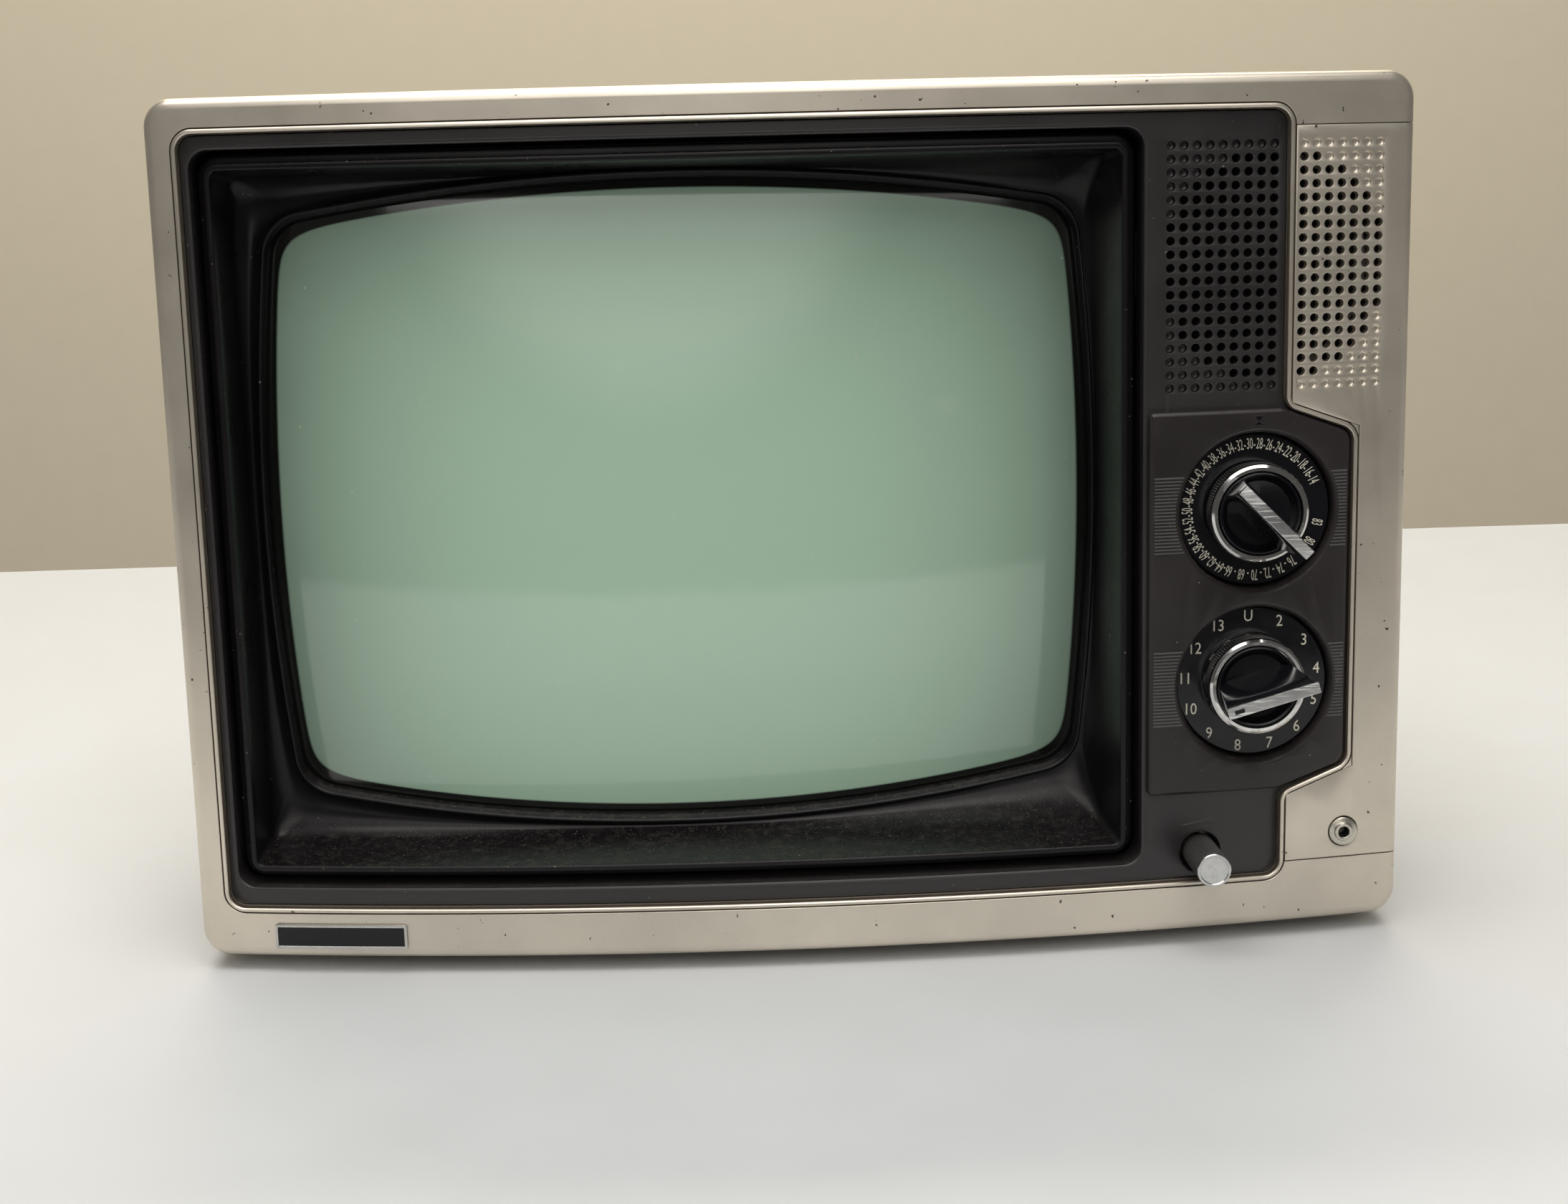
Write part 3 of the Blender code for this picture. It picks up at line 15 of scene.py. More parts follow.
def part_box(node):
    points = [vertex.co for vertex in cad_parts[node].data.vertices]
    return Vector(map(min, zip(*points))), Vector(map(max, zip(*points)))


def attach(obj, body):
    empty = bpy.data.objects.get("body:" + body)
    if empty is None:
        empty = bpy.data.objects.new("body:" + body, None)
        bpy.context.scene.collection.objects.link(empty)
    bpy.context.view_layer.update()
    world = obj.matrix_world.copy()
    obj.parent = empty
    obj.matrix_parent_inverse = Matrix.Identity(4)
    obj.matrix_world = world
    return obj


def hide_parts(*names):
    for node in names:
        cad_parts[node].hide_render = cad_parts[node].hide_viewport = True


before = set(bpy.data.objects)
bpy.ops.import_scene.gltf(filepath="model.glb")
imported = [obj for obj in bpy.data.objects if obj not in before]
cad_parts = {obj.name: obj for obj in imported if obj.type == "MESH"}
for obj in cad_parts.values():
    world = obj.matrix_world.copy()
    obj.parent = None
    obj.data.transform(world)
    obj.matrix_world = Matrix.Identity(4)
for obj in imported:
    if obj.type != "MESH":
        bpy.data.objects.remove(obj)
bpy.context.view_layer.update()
MM = 0.001

FRAME_LOW, FRAME_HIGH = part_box("front_frame")
WIDTH = FRAME_HIGH.x - FRAME_LOW.x
HEIGHT = FRAME_HIGH.z - FRAME_LOW.z
BOW = 18 * MM
BOW_FULL_Y = 16 * MM
FRAME_DEPTH = 45 * MM
CORNER_R = 9 * MM
WALL = 2.5 * MM
EDGE_BEVEL = 3.3 * MM
FACE_T = 5.7 * MM
GAP = 0.3 * MM
STATION = 8 * MM
ORIGIN = Vector((0, FRAME_LOW.y + BOW, FRAME_LOW.z))


def layout_box(node):
    low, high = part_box(node)
    return low - ORIGIN, high - ORIGIN


def axis_of(node):
    low, high = layout_box(node)
    return (low + high) / 2


def spot(middle, y=0):
    """A point in the frame, level with a part's middle and at a depth in the layout."""
    return ORIGIN + Vector((middle.x, y, middle.z))


# The opening in the silver face, from the mask behind it
MASK_LOW, MASK_HIGH = layout_box("front_mask")
MASK_FLANGE = 2.5 * MM
OPEN_X0, NOTCH_X = -189.5 * MM, MASK_HIGH.x - MASK_FLANGE
OPEN_Z0, OPEN_Z1 = MASK_LOW.z + MASK_FLANGE, MASK_HIGH.z - MASK_FLANGE
OPEN_X1 = 158 * MM
NOTCH_LOW = (45.6 * MM, 54 * MM)
NOTCH_HIGH = (164.6 * MM, 172.9 * MM)
BEAD = 2 * MM
MASK_Y = 2.5 * MM
PANEL_LOW, PANEL_HIGH = layout_box("side_panel")
PANEL_T = 3.4 * MM

# Screen surround and glass: (half width, half height, corner radius) of the screen's outlines
GROOVE = (-186.6 * MM, 111.3 * MM, 23.4 * MM, 262 * MM)
GROOVE_R = 6 * MM
RING = (-182.9 * MM, 107 * MM, 27.7 * MM, 257.8 * MM)
CREASE = (-179.6 * MM, 102.5 * MM, 32.3 * MM, 253.8 * MM)
CREASE_Y = 28 * MM
TUBE_MIDDLE = axis_of("picture_tube")
TUBE_X, TUBE_Z = TUBE_MIDDLE.x, TUBE_MIDDLE.z
TUBE_A, TUBE_B, TUBE_R = 142 * MM, 112 * MM, 20 * MM
TUBE_BULGE = (0.038, 0.116)
PICTURE = (133.1 * MM, 103.15 * MM)
PICTURE_BULGE = (5.1 * MM, 12 * MM)
GLASS_Y = 11 * MM
GLASS_R = 600 * MM

# Sound holes
HOLE_PITCH = 4.22 * MM
HOLE_R = 1.4 * MM
HOLE_TOP_Z = 256 * MM
HOLE_ROWS = 19
MASK_HOLE_X, MASK_HOLE_COLUMNS = 120 * MM, 9
PANEL_HOLE_X, PANEL_HOLE_COLUMNS = 162.9 * MM, 7
SOUND_COLUMN, SOUND_ROW, SOUND_REACH = 9, 10, math.sqrt(76)
SOUND_WINDOW = (161 * MM, 190.5 * MM, 178 * MM, 258.5 * MM)

# Tuner plate, dials and knobs
PLATE_LOW, PLATE_HIGH = layout_box("tuner_plate")
UHF = axis_of("uhf_dial")
VHF = axis_of("vhf_dial")
DIAL_Y = layout_box("uhf_dial")[0].y
WELL_R = 25.6 * MM
WELL_FLARE_R = 27 * MM
WELL_HOLE_R, VOLUME_HOLE_R, JACK_HOLE_R = 27.2 * MM, 6.8 * MM, 5.1 * MM
PLATE_Y = -0.5 * MM
DIAL_R = 24.7 * MM
UHF_DIGITS, VHF_DIGITS = (3.6 * MM, 0.42, 21.7 * MM), (3.8 * MM, 0.86, 22 * MM)
UHF_TURN = math.radians(45)
VHF_TURN = math.radians(-15.4)
BAR_FRONT = 29 * MM
STRIP = (30.3 * MM, 3.6 * MM, 1 * MM)
VOLUME = axis_of("volume_knob")
JACK = axis_of("earphone_jack")

# Camera in front of the set, near the height of its top and left of its middle, looking slightly down
LENS_MM, SENSOR_MM = 51.0, 36.0
YAW, PITCH, ROLL = -0.03581, 0.18333, 0.02528
EYE = Vector((-29.8 * MM, -711.7 * MM, 245.4 * MM))


# ---------------------------------------------------------------- outlines

def rectangle(x0, x1, z0, z1):
    return [(x0, z0), (x1, z0), (x1, z1), (x0, z1)]


def circle(x, z, radius, sides=14):
    turns = [2 * math.pi * i / sides for i in range(sides)]
    return [(x + radius * math.cos(t), z + radius * math.sin(t)) for t in turns]


def outset(points, distance):
    """Move every edge of a counter-clockwise outline outwards."""
    moved = []
    for before, here, after in zip(points[-1:] + points[:-1], points, points[1:] + points[:1]):
        a, p, b = Vector(before), Vector(here), Vector(after)
        into, out = (p - a).normalized(), (b - p).normalized()
        n1, n2 = Vector((into.y, -into.x)), Vector((out.y, -out.x))
        moved.append(tuple(p + (n1 + n2) * distance / (1 + n1.dot(n2))))
    return moved


def fillet(points, radii, segments=8):
    """Round the corners of a closed outline with arcs, of one radius or of one each."""
    rounded = []
    if not isinstance(radii, list):
        radii = [radii] * len(points)
    for before, here, after, radius in zip(points[-1:] + points[:-1], points, points[1:] + points[:1], radii):
        a, p, b = Vector(before), Vector(here), Vector(after)
        u, v = (a - p).normalized(), (b - p).normalized()
        half = u.angle(v) / 2
        centre = p + (u + v).normalized() * radius / math.sin(half)
        start = p + u * radius / math.tan(half) - centre
        sweep = start.angle_signed(p + v * radius / math.tan(half) - centre)
        for i in range(segments + 1):
            turn = -sweep * i / segments
            c, s = math.cos(turn), math.sin(turn)
            rounded.append((centre.x + c * start.x - s * start.y, centre.y + s * start.x + c * start.y))
    return rounded


def opening_corners():
    return [(OPEN_X0, OPEN_Z0), (OPEN_X1, OPEN_Z0), (OPEN_X1, NOTCH_LOW[0]), (NOTCH_X, NOTCH_LOW[1]),
            (NOTCH_X, NOTCH_HIGH[0]), (OPEN_X1, NOTCH_HIGH[1]), (OPEN_X1, OPEN_Z1), (OPEN_X0, OPEN_Z1)]


def quarter_round(radius, steps=5):
    """(outset, y) points of a rounded edge, from the face round to the side."""
    turns = [math.pi / 2 * i / steps for i in range(steps + 1)]
    return [(radius * math.sin(t), radius * (1 - math.cos(t))) for t in turns]


# ---------------------------------------------------------------- mesh building

def to_mesh(name, bm):
    mesh = bpy.data.meshes.new(name)
    bm.to_mesh(mesh)
    bm.free()
    return mesh


def add_object(name, data):
    obj = bpy.data.objects.new(name, data)
    bpy.context.scene.collection.objects.link(obj)
    return obj


def piece(name, bm, body, looks, replaces=(), at=ORIGIN, angle=32):
    """A visible piece on a CAD body, with its materials in the order of the mesh's indices."""
    mesh = to_mesh(name, bm)
    mesh.shade_smooth()
    mesh.set_sharp_from_angle(angle=math.radians(angle))
    obj = add_object(name, mesh)
    obj.location = at
    for look in looks:
        mesh.materials.append(LOOKS[look])
    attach(obj, body)
    if replaces:
        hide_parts(*replaces)
    return obj


def loop_at(bm, outline, y):
    return [bm.verts.new((x, y, z)) for x, z in outline]


def bridge(bm, one, other, index=0):
    for i in range(len(one)):
        j = (i + 1) % len(one)
        face = bm.faces.new((one[i], one[j], other[j], other[i]))
        face.material_index = index


def cap(bm, loops, index=0):
    """Flat faces inside the first loop and outside the others."""
    flat = [[Vector((v.co.x, v.co.z, 0)) for v in loop] for loop in loops]
    verts = [v for loop in loops for v in loop]
    for triangle in tessellate_polygon(flat):
        face = bm.faces.new([verts[i] for i in triangle])
        face.material_index = index


def swept(bm, outline, profile, index=0):
    """Loops of one outline at every (outset, y[, material]) step, joined; returns the first and the last."""
    first = previous = None
    for step in profile:
        loop = loop_at(bm, outset(outline, step[0]), step[1])
        if previous:
            bridge(bm, previous, loop, step[2] if len(step) > 2 else index)
        first, previous = first or loop, loop
    return first, previous


def slab(outline, rim, openings=(), blind=()):
    """Closed plate: a front face at the rim's first step, openings right through, and blind ones with a floor."""
    bm = bmesh.new()
    front, back = swept(bm, outline, rim)
    front_loops, back_loops = [front], [back]
    for edge, profile in openings:
        near, far = swept(bm, edge, profile)
        front_loops.append(near)
        back_loops.append(far)
    for edge, profile in blind:
        near, far = swept(bm, edge, profile)
        front_loops.append(near)
        cap(bm, [far])
    cap(bm, front_loops)
    cap(bm, back_loops)
    bmesh.ops.recalc_face_normals(bm, faces=bm.faces)
    return bm


def bow_at(x):
    return -BOW * (1 - (x / (WIDTH / 2)) ** 2)


def bend(bm, station=STATION):
    """Cut into upright strips and bend to the bowed front, fading out towards the frame's back edge."""
    count = round(WIDTH / station)
    for i in range(1, count):
        at = (i * WIDTH / count - WIDTH / 2, 0, 0)
        everything = bm.verts[:] + bm.edges[:] + bm.faces[:]
        bmesh.ops.bisect_plane(bm, geom=everything, dist=1e-6, plane_co=at, plane_no=(1, 0, 0))
    for vert in bm.verts:
        fade = (FRAME_DEPTH - vert.co.y) / (FRAME_DEPTH - BOW_FULL_Y)
        vert.co.y += bow_at(vert.co.x) * min(max(fade, 0), 1)
    return bm


def cut(bm, cutter_bm, operation="DIFFERENCE"):
    """The first mesh with the second cut from it, joined to it, or common to both."""
    objects = [add_object("cut", to_mesh("cut", part)) for part in (bm, cutter_bm)]
    step = objects[0].modifiers.new("cut", "BOOLEAN")
    step.operation = operation
    step.solver = "EXACT"
    step.object = objects[1]
    result = bmesh.new()
    result.from_object(objects[0], bpy.context.evaluated_depsgraph_get())
    for obj in objects:
        bpy.data.objects.remove(obj)
    return result


def block(low, high):
    low, high = Vector(low), Vector(high)
    bm = bmesh.new()
    bmesh.ops.create_cube(bm, size=1.0)
    bmesh.ops.scale(bm, vec=high - low, verts=bm.verts)
    bmesh.ops.translate(bm, vec=(low + high) / 2, verts=bm.verts)
    return bm


def soften(bm, width, segments=2, angle=30):
    """Round every edge sharper than an angle."""
    edges = [e for e in bm.edges if len(e.link_faces) == 2 and e.calc_face_angle() > math.radians(angle)]
    bmesh.ops.bevel(bm, geom=edges, offset=width, segments=segments, profile=0.5, affect="EDGES")
    return bm


def lathe(profile, sides=64, teeth=0, tooth=0.0, closed=False):
    """Solid of revolution about Y from (radius, y[, material[, knurled]]) points; knurled rings get teeth."""
    bm = bmesh.new()
    count = teeth * 2 if teeth else sides
    rings = []
    for step in profile:
        radius, y = step[0], step[1]
        knurled = len(step) > 3 and step[3]
        if radius == 0:
            rings.append([bm.verts.new((0, y, 0))])
            continue
        ring = []
        for i in range(count):
            t = 2 * math.pi * i / count
            r = radius - (tooth if knurled and i % 2 else 0)
            ring.append(bm.verts.new((r * math.cos(t), y, r * math.sin(t))))
        rings.append(ring)
    pairs = list(zip(rings, rings[1:]))
    if closed:
        pairs.append((rings[-1], rings[0]))
    for number, (one, other) in enumerate(pairs, 1):
        step = profile[number % len(profile)]
        index = step[2] if len(step) > 2 else 0
        for i in range(count):
            j = (i + 1) % count
            corners = [one[i % len(one)], one[j % len(one)], other[j % len(other)], other[i % len(other)]]
            unique = [v for k, v in enumerate(corners) if v not in corners[:k]]
            face = bm.faces.new(unique)
            face.material_index = index
    bmesh.ops.recalc_face_normals(bm, faces=bm.faces)
    return bm


def mm(points):
    """Points whose first two numbers are given in millimetres."""
    return [(point[0] * MM, point[1] * MM, *point[2:]) for point in points]


def paint(bm, index):
    for face in bm.faces:
        face.material_index = index
    return bm


def move(bm, matrix):
    bmesh.ops.transform(bm, matrix=matrix, verts=bm.verts)
    return bm


def merge(target, part):
    """Add one mesh to another as a separate shell."""
    mesh = to_mesh("part", part)
    target.from_mesh(mesh)
    bpy.data.meshes.remove(mesh)
    return target


# ---------------------------------------------------------------- materials

class Nodes:
    """Small helper to wire a Principled material."""

    def __init__(self, name):
        self.made = bpy.data.materials.new(name)
        self.made.use_nodes = True
        self.tree = self.made.node_tree
        self.shader = self.tree.nodes["Principled BSDF"]

    def node(self, kind, inputs=None, **settings):
        node = self.tree.nodes.new(kind)
        for key, value in settings.items():
            setattr(node, key, value)
        for key, value in (inputs or {}).items():
            self.feed(node.inputs[key], value)
        return node

    def feed(self, socket, value):
        if isinstance(value, bpy.types.NodeSocket):
            self.tree.links.new(value, socket)
        else:
            socket.default_value = value

    def set(self, **values):
        for key, value in values.items():
            self.feed(self.shader.inputs[key.replace("_", " ")], value)
        return self

    def coordinates(self, stretch=None):
        source = self.node("ShaderNodeTexCoord").outputs["Object"]
        if stretch:
            return self.node("ShaderNodeMapping", {"Vector": source, "Scale": stretch}).outputs["Vector"]
        return source

    def noise(self, scale, detail=4.0, roughness=0.55, stretch=None):
        return self.node("ShaderNodeTexNoise", {"Vector": self.coordinates(stretch), "Scale": scale, "Detail": detail,
                                                "Roughness": roughness}).outputs["Fac"]

    def ramp(self, value, low, high, to_low=0.0, to_high=1.0):
        node = self.node("ShaderNodeMapRange", {"Value": value, "From Min": low, "From Max": high,
                                                "To Min": to_low, "To Max": to_high}, clamp=True)
        return node.outputs["Result"]

    def math(self, operation, one, other=0.0):
        return self.node("ShaderNodeMath", {0: one, 1: other}, operation=operation).outputs[0]

    def times(self, one, other):
        return self.math("MULTIPLY", one, other)

    def mix(self, share, one, other):
        node = self.node("ShaderNodeMix", data_type="RGBA")
        self.feed(node.inputs["Factor"], share)
        for socket, colour in ((node.inputs[6], one), (node.inputs[7], other)):
            self.feed(socket, colour if isinstance(colour, bpy.types.NodeSocket) else (*colour, 1.0))
        return node.outputs[2]

    def facing(self, axis):
        """How far the surface faces up (axis 2), left or right (0), or front and back (1)."""
        normal = self.node("ShaderNodeNewGeometry").outputs["Normal"]
        return self.node("ShaderNodeSeparateXYZ", {"Vector": normal}).outputs[axis]

    def place(self, axis):
        return self.node("ShaderNodeSeparateXYZ", {"Vector": self.coordinates()}).outputs[axis]

    def edges(self, radius, low=0.02, high=0.35):
        """1 along convex and concave edges, 0 on flat surfaces."""
        rounded = self.node("ShaderNodeBevel", {"Radius": radius}, samples=6).outputs["Normal"]
        flat = self.node("ShaderNodeNewGeometry").outputs["Normal"]
        alike = self.node("ShaderNodeVectorMath", {0: rounded, 1: flat}, operation="DOT_PRODUCT").outputs["Value"]
        return self.ramp(self.math("SUBTRACT", 1.0, alike), low, high)

    def bump(self, height, strength, distance):
        node = self.node("ShaderNodeBump", {"Height": height, "Strength": strength, "Distance": distance})
        self.feed(self.shader.inputs["Normal"], node.outputs["Normal"])
        return self


def silver_paint(name, colour=(0.67, 0.61, 0.52)):
    """Champagne metallic paint on plastic: fine flake, hazy patches, worn and chipped edges."""
    m = Nodes(name)
    patches = m.ramp(m.noise(14, 5), 0.35, 0.7)
    light = tuple(c * 1.1 for c in colour)
    dark = tuple(c * 0.86 for c in colour)
    base = m.mix(patches, dark, light)
    flake = m.ramp(m.noise(5200, 1), 0.5, 0.75)
    base = m.mix(m.times(flake, 0.35), base, (0.75, 0.71, 0.63))
    edge = m.edges(0.9 * MM)
    worn = m.times(edge, m.ramp(m.noise(120, 6, 0.7), 0.52, 0.6))
    base = m.mix(m.times(worn, 0.55), base, (0.16, 0.135, 0.11))
    specks = m.ramp(m.noise(430, 2, 0.5), 0.735, 0.76)
    base = m.mix(specks, base, (0.07, 0.06, 0.05))
    scuffs = m.ramp(m.noise(60, 8, 0.75, (1, 1, 7)), 0.6, 0.75)
    base = m.mix(m.times(scuffs, 0.16), base, (0.62, 0.6, 0.55))
    rough = m.math("ADD", m.ramp(m.noise(35, 5), 0.3, 0.7, 0.31, 0.4), m.times(worn, 0.25))
    m.set(Base_Color=base, Roughness=rough, Metallic=0.8)
    return m.bump(m.noise(3200, 2), 0.12, 0.06 * MM).made


def dark_plastic(name, colour, rough=0.42, grain=0.16, dust=0.25, wear_and_highlight=(0.16, 0.15, 0.15), wear_and_highlight_share=0.25,
                 shine=0.55):
    """Satin moulded plastic with a fine grain, dust on what faces up, and rubbed edges; on the tuner plate the pale
    edge colour is partly a painted highlight.
    """
    m = Nodes(name)
    cloud = m.ramp(m.noise(22, 5), 0.3, 0.72)
    base = m.mix(cloud, tuple(c * 0.85 for c in colour), tuple(c * 1.2 for c in colour))
    # Lighter rubbed edges: edge wear, and where the colour is pale, as on the tuner plate, partly a painted highlight.
    rubbed_and_highlit = m.times(m.edges(0.6 * MM), m.ramp(m.noise(90, 4), 0.35, 0.65))
    base = m.mix(m.times(rubbed_and_highlit, wear_and_highlight_share), base, wear_and_highlight)
    up = m.ramp(m.facing(2), 0.25, 0.95)
    lint = m.math("MAXIMUM", m.ramp(m.noise(1500, 3), 0.62, 0.72), m.ramp(m.noise(260, 8, 0.75), 0.5, 0.85, 0.0, 0.4))
    dusty = m.times(m.times(up, lint), dust)
    specks = m.times(m.ramp(m.noise(800, 1), 0.785, 0.8), 0.5)
    base = m.mix(m.math("MAXIMUM", dusty, specks), base, (0.36, 0.32, 0.26))
    satin = m.ramp(m.noise(45, 4), 0.3, 0.7, rough - 0.05, rough + 0.07)
    m.set(Base_Color=base, Roughness=m.math("ADD", satin, m.times(dusty, 0.4)))
    m.set(Specular_IOR_Level=shine)
    return m.bump(m.noise(1900, 3), grain, 0.08 * MM).made


def gloss_plastic(name):
    m = Nodes(name)
    dust = m.ramp(m.noise(900, 2), 0.72, 0.78)
    hair = m.ramp(m.noise(70, 8, 0.8, (1, 1, 9)), 0.66, 0.72)
    base = m.mix(m.times(m.math("MAXIMUM", dust, hair), 0.16), (0.006, 0.006, 0.008), (0.3, 0.28, 0.25))
    m.set(Base_Color=base, Roughness=m.ramp(m.noise(130, 5), 0.35, 0.75, 0.1, 0.24))
    m.set(Coat_Weight=0.1, Specular_IOR_Level=0.3)
    return m.bump(m.noise(60, 2), 0.03, 0.2 * MM).made


def bright_metal(name, colour, rough=(0.08, 0.22), stretch=None, scratch=0.25, grime_and_shade=(0.2, 0.16, 0.11),
                 grime_share=0.4):
    """Plated or bare metal with fine scratches, fingerprints and patches of grime."""
    m = Nodes(name)
    prints = m.ramp(m.noise(160, 6, 0.65), 0.35, 0.75)
    dirt = m.times(m.ramp(m.noise(240, 5, 0.7), 0.56, 0.7), grime_share)
    base = m.mix(dirt, m.mix(prints, colour, tuple(c * 0.86 for c in colour)), grime_and_shade)
    lines = m.noise(900, 3, 0.6, stretch or (1, 1, 1))
    m.set(Base_Color=base, Metallic=1.0,
          Roughness=m.math("ADD", m.ramp(prints, 0, 1, *rough), m.times(dirt, 0.4)))
    return m.bump(lines, scratch, 0.03 * MM).made


def scratched_strip(name):
    """Aluminium finger strip with criss-cross scratches."""
    m = Nodes(name)
    scratches = []
    for angle in (0.4, 1.3, 2.2):
        turned = m.node("ShaderNodeMapping", {"Vector": m.coordinates(), "Rotation": (0, angle, 0),
                                              "Scale": (60, 900, 1300)})
        noise = m.node("ShaderNodeTexNoise", {"Vector": turned.outputs["Vector"], "Scale": 1.0, "Detail": 2.0})
        scratches.append(m.ramp(noise.outputs["Fac"], 0.6, 0.68))
    lines = m.math("MAXIMUM", m.math("MAXIMUM", scratches[0], scratches[1]), scratches[2])
    tone = m.ramp(m.noise(200, 5), 0.3, 0.7)
    base = m.mix(lines, m.mix(tone, (0.42, 0.42, 0.43), (0.55, 0.55, 0.55)), (0.85, 0.85, 0.83))
    m.set(Base_Color=base, Metallic=1.0, Roughness=m.ramp(lines, 0, 1, 0.3, 0.5))
    return m.bump(lines, 0.35, 0.04 * MM).made


def screen_glass(name):
    """Grey-green phosphor under clear glass, black round the edge of the picture, with painted shade darkening it
    towards the left and right sides.
    """
    m = Nodes(name)
    across, upward = m.math("SUBTRACT", m.place(0), TUBE_X), m.math("SUBTRACT", m.place(2), TUBE_Z)
    half_x = m.math("SUBTRACT", PICTURE[0], m.times(m.math("POWER", m.math("DIVIDE", upward, 98 * MM), 2.0),
                                                   PICTURE_BULGE[0]))
    half_z = m.math("SUBTRACT", PICTURE[1], m.times(m.math("POWER", m.math("DIVIDE", across, 128 * MM), 2.0),
                                                   PICTURE_BULGE[1]))
    level = m.math("POWER", m.math("ABSOLUTE", m.math("DIVIDE", across, half_x)), 22.0)
    upright = m.math("POWER", m.math("ABSOLUTE", m.math("DIVIDE", upward, half_z)), 22.0)
    reach = m.math("POWER", m.math("ADD", level, upright), 1 / 22)
    # Painted shade: the green is mixed towards a dark green the nearer it lies to the picture's left and right sides.
    side_shade = m.math("POWER", m.math("ABSOLUTE", m.math("DIVIDE", across, half_x)), 3.0)
    green = m.mix(m.times(side_shade, 0.62), (0.42, 0.6, 0.465), (0.06, 0.085, 0.066))
    cloud = m.ramp(m.noise(9, 3), 0.35, 0.7)
    green = m.mix(m.times(cloud, 0.12), green, (0.46, 0.6, 0.46))
    smear = m.ramp(m.noise(48, 3, 0.5), 0.68, 0.78)
    green = m.mix(m.times(smear, 0.08), green, (0.6, 0.7, 0.6))
    specks = m.ramp(m.noise(420, 1), 0.79, 0.8)
    green = m.mix(m.times(specks, 0.5), green, (0.6, 0.6, 0.52))
    edge = m.ramp(reach, 0.994, 1.0)
    m.set(Base_Color=m.mix(edge, green, (0.006, 0.007, 0.006)), Roughness=m.ramp(m.noise(30, 5), 0.3, 0.8, 0.07, 0.13))
    m.set(Coat_Weight=0.25, Specular_IOR_Level=0.62)
    return m.made


def plain(name, colour, rough, metallic=0.0, scale=300, bump=0.1, spread=0.2, stretch=None):
    """Simple surface with cloudy colour and a fine relief."""
    m = Nodes(name)
    cloud = m.noise(scale / 8, 5)
    base = m.mix(cloud, tuple(c * (1 - spread) for c in colour), tuple(min(1, c * (1 + spread)) for c in colour))
    m.set(Base_Color=base, Roughness=m.ramp(cloud, 0.3, 0.7, rough - 0.06, rough + 0.08), Metallic=metallic)
    return m.bump(m.noise(scale, 3, 0.6, stretch), bump, 0.1 * MM).made


LOOKS = {
    "silver": silver_paint("silver_paint"),
    # Dark brown painted shade for the groove outside the bead and the opening's inner wall.
    "grime_and_shade": plain("bead_groove_painted_shade", (0.05, 0.035, 0.022), 0.7, scale=900, bump=0.3),
    "black": dark_plastic("black_plastic", (0.021, 0.018, 0.019), rough=0.36),
    "surround": dark_plastic("surround_plastic", (0.006, 0.005, 0.006), rough=0.3, grain=0.05, dust=0.35,
                             wear_and_highlight_share=0.2, shine=0.25),
    # The plate's pale edge colour is edge wear and partly a painted highlight along its raised edges.
    "plate": dark_plastic("tuner_plate_plastic", (0.018, 0.014, 0.015), rough=0.34, wear_and_highlight=(0.5, 0.46, 0.4),
                          wear_and_highlight_share=0.3, dust=0.3, shine=0.45),
    "rib": plain("rib_plastic", (0.085, 0.08, 0.085), 0.38, scale=1200),
    "gloss_black": gloss_plastic("gloss_black_plastic"),
    "print": plain("dial_print", (0.66, 0.63, 0.53), 0.5, scale=1500, spread=0.12),
    "dark_grey": dark_plastic("dark_grey_plastic", (0.045, 0.043, 0.042), rough=0.5, grain=0.45),
    "cover": dark_plastic("cover_plastic", (0.04, 0.038, 0.038), rough=0.52, grain=0.8, dust=0.35),
    "chrome": bright_metal("chrome", (0.72, 0.71, 0.7)),
    "spun": bright_metal("spun_aluminium", (0.66, 0.66, 0.65), (0.2, 0.32), grime_share=0.15),
    "strip": scratched_strip("aluminium_strip"),
    "nickel": bright_metal("nickel", (0.6, 0.57, 0.5), (0.2, 0.36), grime_share=0.5),
    "trim": bright_metal("trim_metal", (0.6, 0.59, 0.57), (0.24, 0.34), (1, 1, 14), 0.2, grime_share=0.2),
    "steel": bright_metal("plated_steel", (0.42, 0.41, 0.38), (0.3, 0.45), grime_share=0.3),
    "glass": screen_glass("screen_glass"),
    "funnel": plain("tube_coating", (0.03, 0.03, 0.032), 0.6, scale=500),
    "rubber": plain("rubber", (0.02, 0.02, 0.02), 0.75, scale=800, bump=0.3),
    "copper": plain("copper_winding", (0.3, 0.11, 0.04), 0.35, 0.7, scale=900, bump=0.8, stretch=(1, 6, 1)),
    "board": plain("circuit_board", (0.2, 0.11, 0.04), 0.5, scale=500),
    "paper": plain("speaker_paper", (0.02, 0.018, 0.016), 0.9, scale=1400, bump=0.4),
    # Near-black painted shade for inside the earphone socket's hole.
    "hole_shade": plain("painted_hole_shade", (0.004, 0.004, 0.004), 0.8),
}


# ---------------------------------------------------------------- cabinet front

def cabinet_outline():
    """The flat part of the front, inside its rounded edge."""
    flat = rectangle(-WIDTH / 2 + EDGE_BEVEL, WIDTH / 2 - EDGE_BEVEL, EDGE_BEVEL, HEIGHT - EDGE_BEVEL)
    return fillet(flat, CORNER_R - EDGE_BEVEL, 10)


